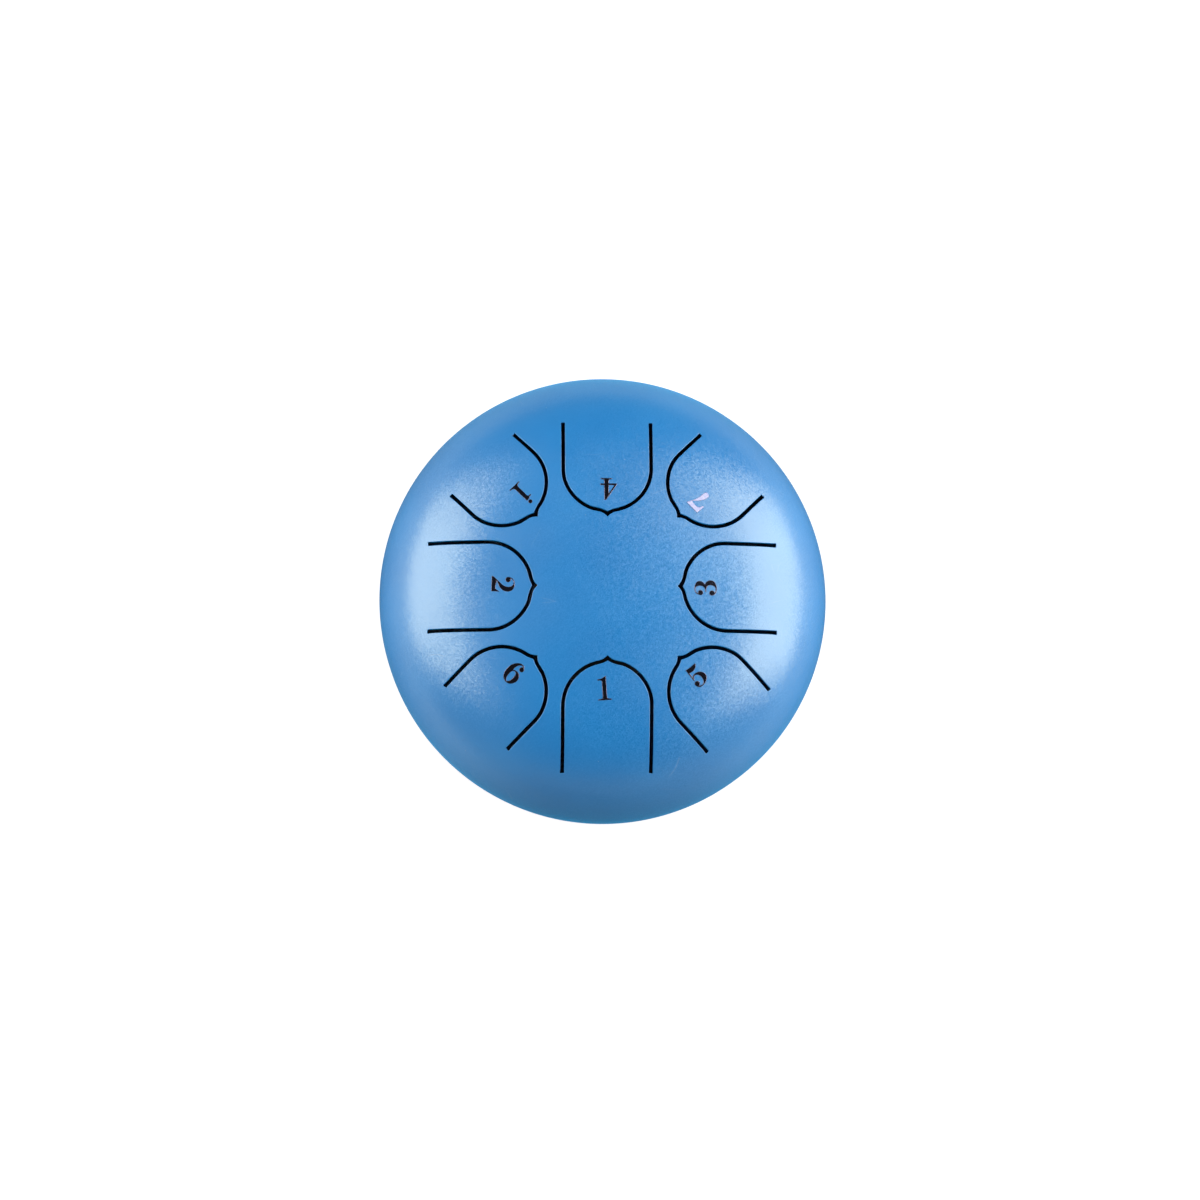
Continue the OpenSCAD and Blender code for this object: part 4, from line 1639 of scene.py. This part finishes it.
@dataclass(frozen=True)
class PearlPaint(Finish):
    """Satin blue paint with fine pearl in it."""

    name: str = "pearl_blue_paint"
    base: tuple[float, ...] = srgb(18, 141, 218)
    deep: tuple[float, ...] = srgb(14, 134, 211)
    pink: tuple[float, ...] = srgb(120, 165, 222)
    dust: tuple[float, ...] = srgb(170, 195, 225)
    roughness: float = 0.33
    ior: float = 2.4
    tint: tuple[float, ...] = (0.92, 0.95, 0.76, 1.0)
    flop: tuple[float, ...] = (0.02, 0.5, 1.0, 1.0)
    flakes: float = 2900.0
    lean: float = 0.12

    def shader(self, nodes: Nodes, place: bpy.types.NodeSocket, effects: SharedEffects) -> dict[str, Any]:
        """Colour drifts a little, and each flake has its own lean, shine and tint.

        Args:
            nodes: The material's nodes.
            place: Object coordinates.
            effects: The shared node groups.

        Returns:
            A value or a socket for each input.
        """
        flakes = effects.use(nodes, "pearl_flakes", place=place, per_metre=self.flakes, lean=self.lean)
        marks = effects.use(nodes, "handling_marks", place=place, hairlines=1.0)
        grain = effects.use(nodes, "fine_grain", place=place, per_metre=420.0)
        drift = nodes.spread(nodes.noise(place, 30.0, 3.0), 0.35, 0.65)
        color = nodes.mix(drift, self.deep, self.base)
        color = nodes.mix(nodes.spread(flakes["Pink"], 0.55, 1.0, 0.0, 0.02), color, self.pink)
        color = nodes.mix(nodes.math("MULTIPLY", marks["Hairline"], 0.3), color, self.dust)
        color = nodes.mix(nodes.math("MULTIPLY", marks["Dust"], 0.55), color, self.dust)
        rough = nodes.spread(flakes["Shine"], 0.0, 1.0, self.roughness - 0.05, self.roughness + 0.04)
        rough = nodes.math("ADD", rough, nodes.math("MULTIPLY", marks["Smudge"], 0.05))
        height = nodes.math("ADD", grain["Height"], nodes.math("MULTIPLY", marks["Dust"], 0.5))
        height = nodes.math("SUBTRACT", height, nodes.math("MULTIPLY", marks["Hairline"], 0.4))
        normal = nodes.bump(height, 0.012 * MM, flakes["Normal"])
        return {
            "Base Color": color,
            "Roughness": rough,
            "IOR": self.ior,
            "Specular Tint": self.tint,
            "Normal": normal,
            "Sheen Weight": 0.7,
            "Sheen Roughness": 0.4,
            "Sheen Tint": self.flop,
        }


@dataclass(frozen=True)
class InnerSteel(Finish):
    """Inside of the shells: grey pressed steel with a mist of blue overspray."""

    name: str = "inner_steel_overspray"
    steel: tuple[float, ...] = srgb(92, 96, 102)
    dark: tuple[float, ...] = srgb(58, 60, 66)
    spray: tuple[float, ...] = srgb(34, 84, 134)

    def shader(self, nodes: Nodes, place: bpy.types.NodeSocket, effects: SharedEffects) -> dict[str, Any]:
        """The mist is dense where a slow noise and a fine grain are both high.

        Args:
            nodes: The material's nodes.
            place: Object coordinates.
            effects: The shared node groups.

        Returns:
            A value or a socket for each input.
        """
        grain = effects.use(nodes, "fine_grain", place=place, per_metre=700.0)
        marks = effects.use(nodes, "handling_marks", place=place, hairlines=1.0)
        cloud = nodes.noise(place, 28.0, 4.0, 0.6)
        mist = nodes.spread(nodes.math("ADD", cloud, nodes.math("MULTIPLY", grain["Fine"], 0.5)), 0.6, 0.95)
        color = nodes.mix(nodes.spread(grain["Height"], 0.35, 0.65), self.dark, self.steel)
        color = nodes.mix(mist, color, self.spray)
        rough = nodes.spread(marks["Smudge"], 0.0, 1.0, 0.42, 0.58)
        return {
            "Base Color": color,
            "Metallic": nodes.spread(mist, 0.0, 1.0, 0.85, 0.1),
            "Roughness": nodes.math("ADD", rough, nodes.math("MULTIPLY", mist, 0.1)),
            "Normal": nodes.bump(grain["Fine"], 0.01 * MM),
        }


@dataclass(frozen=True)
class MirrorFilm(Finish):
    """Dark mirror film of the figures, with a paler cut edge."""

    name: str = "dark_mirror_film"
    base: tuple[float, ...] = (0.25, 0.26, 0.4, 1.0)
    worn: tuple[float, ...] = (0.33, 0.32, 0.45, 1.0)
    cut: tuple[float, ...] = srgb(188, 176, 192)
    roughness: float = 0.1
    edge_r: float = 0.18 * MM
    crown_middle: tuple[float, float, float] = (0.0, 0.0, -191.4 * MM)

    def shader(self, nodes: Nodes, place: bpy.types.NodeSocket, effects: SharedEffects) -> dict[str, Any]:
        """The face mirrors as a ball about the crown's middle, and turns down towards its edge.

        What turns away from that ball is edge, which shows the paler cut.

        Args:
            nodes: The material's nodes.
            place: Object coordinates.
            effects: The shared node groups.

        Returns:
            A value or a socket for each input.
        """
        marks = effects.use(nodes, "handling_marks", place=place, hairlines=1.0)
        grain = effects.use(nodes, "fine_grain", place=place, per_metre=500.0)
        ball = nodes.vector("NORMALIZE", nodes.vector("SUBTRACT", place, self.crown_middle))
        turned = nodes.add("ShaderNodeBevel", {"Radius": self.edge_r}, samples=8).outputs[0]
        edge = nodes.spread(nodes.vector("DOT_PRODUCT", turned, ball), 0.8, 0.97, 1.0, 0.0)
        face = nodes.bump(grain["Height"], 0.005 * MM, ball)
        normal = nodes.add("ShaderNodeMix", data_type="VECTOR")
        vectors = [socket for socket in normal.inputs if socket.type == "VECTOR" and socket.name in "AB"]
        for socket, value in zip((normal.inputs["Factor"], *vectors), (edge, face, turned)):
            nodes.put(socket, value)
        mixed = next(socket for socket in normal.outputs if socket.type == "VECTOR")
        rough = nodes.math("MULTIPLY_ADD", marks["Smudge"], 0.08, self.roughness)
        film = nodes.mix(nodes.spread(grain["Fine"], 0.4, 0.75), self.base, self.worn)
        return {
            "Base Color": nodes.mix(edge, film, self.cut),
            "Metallic": nodes.spread(edge, 0.0, 1.0, 1.0, 0.7),
            "Roughness": nodes.math("MULTIPLY_ADD", edge, 0.15, rough),
            "Normal": mixed,
        }


@dataclass(frozen=True)
class CuredAdhesive(Finish):
    """Dark grey adhesive, a little shiny."""

    name: str = "cured_adhesive"
    base: tuple[float, ...] = srgb(38, 40, 44)
    pale: tuple[float, ...] = srgb(66, 68, 72)

    def shader(self, nodes: Nodes, place: bpy.types.NodeSocket, effects: SharedEffects) -> dict[str, Any]:
        """Dust and smudges lighten it, and a slow noise makes its face uneven.

        Args:
            nodes: The material's nodes.
            place: Object coordinates.
            effects: The shared node groups.

        Returns:
            A value or a socket for each input.
        """
        grain = effects.use(nodes, "fine_grain", place=place, per_metre=900.0)
        marks = effects.use(nodes, "handling_marks", place=place, hairlines=0.0)
        worn = nodes.math("MAXIMUM", marks["Dust"], marks["Smudge"])
        return {
            "Base Color": nodes.mix(worn, self.base, self.pale),
            "Roughness": nodes.spread(grain["Height"], 0.3, 0.7, 0.32, 0.52),
            "Normal": nodes.bump(grain["Height"], 0.03 * MM),
        }


@dataclass(frozen=True)
class PlatedMetal(Finish):
    """Plated metal, with its own tint, stain and grain."""

    name: str
    base: tuple[float, ...]
    stain: tuple[float, ...]
    roughness: float
    grain: float
    depth: float

    def shader(self, nodes: Nodes, place: bpy.types.NodeSocket, effects: SharedEffects) -> dict[str, Any]:
        """Stains follow the smudges, and the grain dulls and dents the plating.

        Args:
            nodes: The material's nodes.
            place: Object coordinates.
            effects: The shared node groups.

        Returns:
            A value or a socket for each input.
        """
        grain = effects.use(nodes, "fine_grain", place=place, per_metre=self.grain)
        marks = effects.use(nodes, "handling_marks", place=place, hairlines=1.0)
        tone = nodes.noise(place, 240.0, 3.0)
        color = nodes.mix(nodes.spread(tone, 0.4, 0.7), self.base, self.stain)
        rough = nodes.math("MULTIPLY_ADD", marks["Smudge"], 0.12, self.roughness)
        height = nodes.math("SUBTRACT", grain["Fine"], marks["Hairline"])
        return {
            "Base Color": color,
            "Metallic": 1.0,
            "Roughness": nodes.math("MULTIPLY_ADD", grain["Height"], 0.1, rough),
            "Normal": nodes.bump(height, self.depth),
        }


@dataclass(frozen=True)
class FootRubber(Finish):
    """Black rubber with a fine moulded grain and a little dust."""

    name: str = "moulded_rubber"
    base: tuple[float, ...] = srgb(30, 30, 32)
    bloom: tuple[float, ...] = srgb(56, 56, 58)

    def shader(self, nodes: Nodes, place: bpy.types.NodeSocket, effects: SharedEffects) -> dict[str, Any]:
        """A pale bloom follows the smudges, and dust catches in the grain.

        Args:
            nodes: The material's nodes.
            place: Object coordinates.
            effects: The shared node groups.

        Returns:
            A value or a socket for each input.
        """
        grain = effects.use(nodes, "fine_grain", place=place, per_metre=1600.0)
        marks = effects.use(nodes, "handling_marks", place=place, hairlines=0.0)
        bloom = nodes.math("MAXIMUM", nodes.math("MULTIPLY", marks["Smudge"], 0.6), marks["Dust"])
        return {
            "Base Color": nodes.mix(bloom, self.base, self.bloom),
            "Roughness": nodes.spread(grain["Fine"], 0.3, 0.7, 0.62, 0.82),
            "IOR": 1.45,
            "Normal": nodes.bump(nodes.math("ADD", grain["Height"], grain["Fine"]), 0.03 * MM),
        }


@dataclass
class Figures:
    """Figures of mirror film: the model's own solids, and a high 1 whose dot stands apart.

    The high 1 is drawn in tenths of its height: x across it, and y up from its foot.
    """

    film: bpy.types.Material
    edge_w: float = 0.04 * MM
    edge_angle: float = 50.0
    weld_l: float = 1e-6
    dot_steps: int = 32
    film_t: float = 0.12 * MM
    tenth: float = 0.8 * MM
    foot: tuple[float, float] = (13.0 * MM, -1.9 * MM)
    dot: tuple[float, float, float] = (0.05, 9.5, 0.85)
    half_one: tuple[tuple[float, float], ...] = (
        (2.7, 0.0),
        (2.7, 0.45),
        (1.9, 0.52),
        (1.45, 0.65),
        (1.1, 0.95),
        (0.92, 1.35),
        (0.85, 1.9),
    )
    head: tuple[tuple[float, float], ...] = (
        (0.85, 8.35),
        (-0.85, 8.35),
        (-0.85, 7.9),
        (-2.15, 7.78),
        (-2.15, 7.3),
        (-1.4, 7.26),
        (-1.03, 7.08),
        (-0.85, 6.7),
    )

    def draw_high_one(self, sheet: Sheet, place: TonguePlace) -> None:
        """Draws the high 1 on its tongue: an outline and a circle, each raised to the film's face.

        A point x across and y up the figure lies y nearer to the drum's middle than its foot.

        Args:
            sheet: The upper shell's sheet.
            place: The figure's tongue.
        """
        right = np.array(self.half_one)
        one = np.vstack([right, self.head, right[::-1] * [-1, 1]])
        turn = full_turn(self.dot_steps)[:-1]
        dot = polar(np.full_like(turn, self.dot[2]), turn) + self.dot[:2]
        points, faces = [], []
        for loop in (one, dot):
            out = place.slot.tip_r + self.foot[0] - loop[:, 1] * self.tenth
            plan = np.stack([out, self.foot[1] + loop[:, 0] * self.tenth], axis=1)
            low, normal = sheet.face(turned_plan(plan, np.radians(place.azimuth)), Layer.OUTER)
            count, first = len(loop), sum(len(part) for part in points)
            ring = first + np.arange(count)
            after = np.roll(ring, -1)
            faces += [tuple(ring[::-1]), tuple(ring + count)]
            faces += [tuple(side) for side in np.stack([ring, after, after + count, ring + count], axis=1)]
            points += [low, low + normal * self.film_t]
        mesh = bpy.data.meshes.new(f"number_{place.name}_film")
        mesh.from_pydata(np.vstack(points), [], faces)
        piece = linked(mesh.name, mesh)
        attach(piece, place.body)
        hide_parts(f"number_{place.name}")
        self.dress(piece.name)

    def dress(self, name: str) -> None:
        """Gives a figure its film, and rounds its cut edge.

        Args:
            name: Name of the figure's object.
        """
        piece = bpy.data.objects[name]
        piece.data.materials.clear()
        piece.data.materials.append(self.film)
        weld = piece.modifiers.new("weld", "WELD")
        weld.merge_threshold = self.weld_l
        bevel = piece.modifiers.new("cut_edge", "BEVEL")
        bevel.width, bevel.segments = self.edge_w, 2
        bevel.limit_method, bevel.angle_limit = "ANGLE", np.radians(self.edge_angle)
        LOG.info("%s: dressed in film", name)


@dataclass(frozen=True)
class Softbox:
    """A square lamp that faces the drum, placed by its azimuth and its angle off the vertical."""

    name: str
    azimuth: float
    zenith: float
    away: float
    size: tuple[float, float]
    radiance: float
    color: tuple[float, float, float] = (1.0, 1.0, 1.0)

    def build(self, centre: Vector) -> None:
        """Makes the lamp: its power is its radiance times pi times its area.

        Args:
            centre: The point that it faces.
        """
        a, z = np.radians(self.azimuth), np.radians(self.zenith)
        way = Vector((np.sin(z) * np.cos(a), np.sin(z) * np.sin(a), np.cos(z)))
        data = bpy.data.lights.new(self.name, "AREA")
        data.shape, data.size, data.size_y = "RECTANGLE", *self.size
        data.energy = self.radiance * np.pi * self.size[0] * self.size[1]
        data.color = self.color
        lamp = linked(self.name, data)
        turn = way.to_track_quat("Z", "Y").to_matrix().to_4x4()
        lamp.matrix_world = Matrix.Translation(centre + way * self.away) @ turn


@dataclass
class Studio:
    """Camera, floor, lamps and surroundings."""

    centre: tuple[float, float, float] = (0.0, 0.0, 46.6 * MM)
    distance: float = 0.9
    tilt_x: float = 2.45
    tilt_y: float = 7.7
    lens: float = 79.02
    aim: tuple[float, float] = (-0.92 * MM, 0.17 * MM)
    floor_r: float = 6.0
    floor_steps: int = 96
    # Painted shade of the floor: under the drum, and its front as mirrored rays see it.
    dark: tuple[float, ...] = (0.04, 0.04, 0.04, 1)
    grey: tuple[float, ...] = (0.42, 0.42, 0.42, 1)
    white: tuple[float, ...] = (1, 1, 1, 1)
    softboxes: tuple[Softbox, ...] = (
        Softbox("left_softbox", 168, 58, 0.75, (0.78, 0.8), 2.95),
        Softbox("right_softbox", 9, 58, 0.75, (0.86, 0.8), 3.4),
        Softbox("back_card", 51, 28, 0.8, (0.16, 0.16), 2.6),
    )

    def build_camera(self) -> None:
        """Looks down on the drum at the photograph's angle."""
        tilts = np.tan(np.radians([self.tilt_x, self.tilt_y]))
        back = Vector((-tilts[0], -tilts[1], 1.0)).normalized()
        right = Vector((0, 1, 0)).cross(back).normalized()
        up = back.cross(right)
        place = Vector(self.centre) + right * self.aim[0] + up * self.aim[1] + back * self.distance
        data = bpy.data.cameras.new("photo_camera")
        data.lens, data.sensor_width, data.sensor_fit = self.lens, 36.0, "HORIZONTAL"
        data.clip_start, data.clip_end = 0.01, 50.0
        camera = linked("photo_camera", data)
        turn = Matrix((right, up, back)).transposed().to_4x4()
        camera.matrix_world = Matrix.Translation(place) @ turn
        bpy.context.scene.camera = camera

    def build_floor(self) -> None:
        """Lays a round floor that the camera sees as white, but for the drum's shadow.

        Under the drum its colour darkens towards the middle, a painted shade, and the white that
        the camera sees fades out there, a painted shadow on top of the cast one. Mirrored rays see
        it glow from 0.12 m out, by 0.08 plus 0.3 times the square of x over the distance, a painted
        light that is brightest to the drum's left and right, and they see its front darker, a
        painted shade. From below it isn't seen.
        """
        material = bpy.data.materials.new("studio_floor")
        material.use_nodes = True
        nodes = Nodes(material.node_tree)
        path = nodes.add("ShaderNodeLightPath").outputs
        place = nodes.add("ShaderNodeTexCoord").outputs["Object"]
        away = nodes.vector("LENGTH", place)
        across, along, _ = nodes.add("ShaderNodeSeparateXYZ", {0: place}).outputs
        # Painted shadow: the white glow that the camera sees fades out under the drum.
        outside_painted_shadow = nodes.math("POWER", nodes.spread(away, 0.02, 0.076), 2.0)
        white = nodes.math("MULTIPLY", outside_painted_shadow, nodes.spread(away, 0.25, 0.8, 0.84, 1.0))
        open_to_view = nodes.math("MULTIPLY", path["Is Camera Ray"], white)
        mirrored = nodes.math("MAXIMUM", path["Is Glossy Ray"], path["Is Transmission Ray"])
        mirrored = nodes.math("MULTIPLY", mirrored, nodes.spread(away, 0.12, 0.25))
        side = nodes.math("DIVIDE", across, away)
        # Painted light: mirrored rays see the floor glow most to the drum's left and right.
        painted_side_glow = nodes.math("MULTIPLY_ADD", nodes.math("MULTIPLY", side, side), 0.3, 0.08)
        mirrored = nodes.math("MULTIPLY", mirrored, painted_side_glow)
        seen = nodes.math("MAXIMUM", open_to_view, mirrored)
        # Painted shade: the floor's colour is dark under the drum.
        tone = nodes.mix(nodes.spread(away, 0.035, 0.07), self.dark, self.grey)
        # Painted shade: mirrored rays see the floor's front darker.
        front = nodes.spread(nodes.math("DIVIDE", along, away), -1.0, -0.7, 0.75, 0.0)
        tone = nodes.mix(nodes.math("MULTIPLY", path["Is Glossy Ray"], front), tone, self.dark)
        pale = nodes.add("ShaderNodeBsdfDiffuse", {"Color": tone}).outputs[0]
        glow = nodes.add("ShaderNodeEmission", {"Color": self.white, "Strength": seen})
        lit = nodes.add("ShaderNodeAddShader", {0: pale, 1: glow.outputs[0]}).outputs[0]
        clear = nodes.add("ShaderNodeBsdfTransparent").outputs[0]
        behind = nodes.add("ShaderNodeNewGeometry").outputs["Backfacing"]
        whole = nodes.add("ShaderNodeMixShader", {0: behind, 1: lit, 2: clear}).outputs[0]
        nodes.add("ShaderNodeOutputMaterial", {"Surface": whole})
        mesh = bpy.data.meshes.new("studio_floor")
        ring = spun(self.floor_r, full_turn(self.floor_steps)[:-1], 0.0)
        mesh.from_pydata(ring, [], [tuple(range(self.floor_steps))])
        mesh.materials.append(material)
        floor = linked("studio_floor", mesh)

    def build_world(self) -> None:
        """Surrounds the drum: a dim ceiling, paler walls, and white where the camera looks.

        The walls fade into the ceiling with the sine of the height above the horizon. They are
        paler in front, and paler still in the front right corner. Mirrored rays near the
        horizon see white too, by half the square of x.
        """
        world = bpy.data.worlds.new("studio")
        bpy.context.scene.world = world
        world.use_nodes = True
        nodes = Nodes(world.node_tree)
        around = nodes.add("ShaderNodeTexCoord").outputs["Generated"]
        way = nodes.add("ShaderNodeSeparateXYZ", {0: around}).outputs
        wall = nodes.spread(way[2], 0.0, 0.85, 1.0, 0.0)
        front = nodes.spread(way[1], -0.8, 0.0, 0.35, 0.18)
        right = nodes.spread(way[0], 0.0, 0.5, 0.0, 0.15)
        corner = nodes.math("MULTIPLY", right, nodes.spread(way[1], -0.6, 0.0, 1.0, 0.0))
        room = nodes.math("MULTIPLY_ADD", wall, nodes.math("ADD", front, corner), 0.02)
        path = nodes.add("ShaderNodeLightPath").outputs
        mirrored = nodes.math("MAXIMUM", path["Is Glossy Ray"], path["Is Transmission Ray"])
        mirrored = nodes.math("MULTIPLY", mirrored, nodes.spread(way[2], 0.0, 0.2, 1.0, 0.0))
        side_share = nodes.math("MULTIPLY", nodes.math("MULTIPLY", way[0], way[0]), 0.5)
        mirrored = nodes.math("MULTIPLY", mirrored, side_share)
        white = nodes.math("MAXIMUM", path["Is Camera Ray"], mirrored)
        values = {"Color": self.white, "Strength": nodes.math("MAXIMUM", white, room)}
        shader = nodes.add("ShaderNodeBackground", values)
        nodes.add("ShaderNodeOutputWorld", {"Surface": shader.outputs[0]})

    def build(self) -> None:
        """Sets up the whole studio."""
        self.build_camera()
        self.build_floor()
        self.build_world()
        for softbox in self.softboxes:
            softbox.build(Vector(self.centre))
        bpy.context.scene.view_settings.view_transform = "Standard"


@dataclass
class TongueDrum:
    """The whole drum, piece by piece."""

    layout: Layout = field(default_factory=Layout)
    dish: Dish = field(default_factory=lambda: Dish(76 * MM))
    top_z: float = 48.6 * MM
    base_z: float = 43 * MM

    def build(self) -> None:
        """Makes the finishes, and then each piece."""
        effects = SharedEffects()
        paint, inside = (finish.material(effects) for finish in (PearlPaint(), InnerSteel()))
        nickel = PlatedMetal(
            "nickel_plating", srgb(196, 194, 188), srgb(168, 164, 156), 0.16, 900.0, 0.004 * MM
        )
        zinc = PlatedMetal(
            "zinc_plating", srgb(176, 180, 188), srgb(150, 152, 150), 0.28, 1400.0, 0.01 * MM
        )
        nickel_finish, zinc_finish = nickel.material(effects), zinc.material(effects)
        rubber = FootRubber().material(effects)
        upper = Sheet(self.dish, self.top_z, Facing.UP)
        lower = Sheet(self.dish, self.base_z, Facing.DOWN)
        TopShell(upper, self.layout, [paint, inside]).build()
        bottom = BottomShell(lower, [paint, inside])
        bottom.build()
        SeamAdhesive(CuredAdhesive().material(effects)).build()
        figures = Figures(MirrorFilm().material(effects))
        for place in self.layout.tongues():
            Magnet(upper, place, nickel_finish).build()
            if place.name == "high_1":
                figures.draw_high_one(upper, place)
            else:
                figures.dress(f"number_{place.name}")
        for number, azimuth in enumerate(bottom.foot_azimuths, 1):
            Foot(lower, number, azimuth, rubber, zinc_finish).build()


def main() -> None:
    """Builds the drum and its studio."""
    logging.basicConfig(level=logging.INFO, format="%(message)s")
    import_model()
    TongueDrum().build()
    Studio().build()


if __name__ == "__main__":
    main()
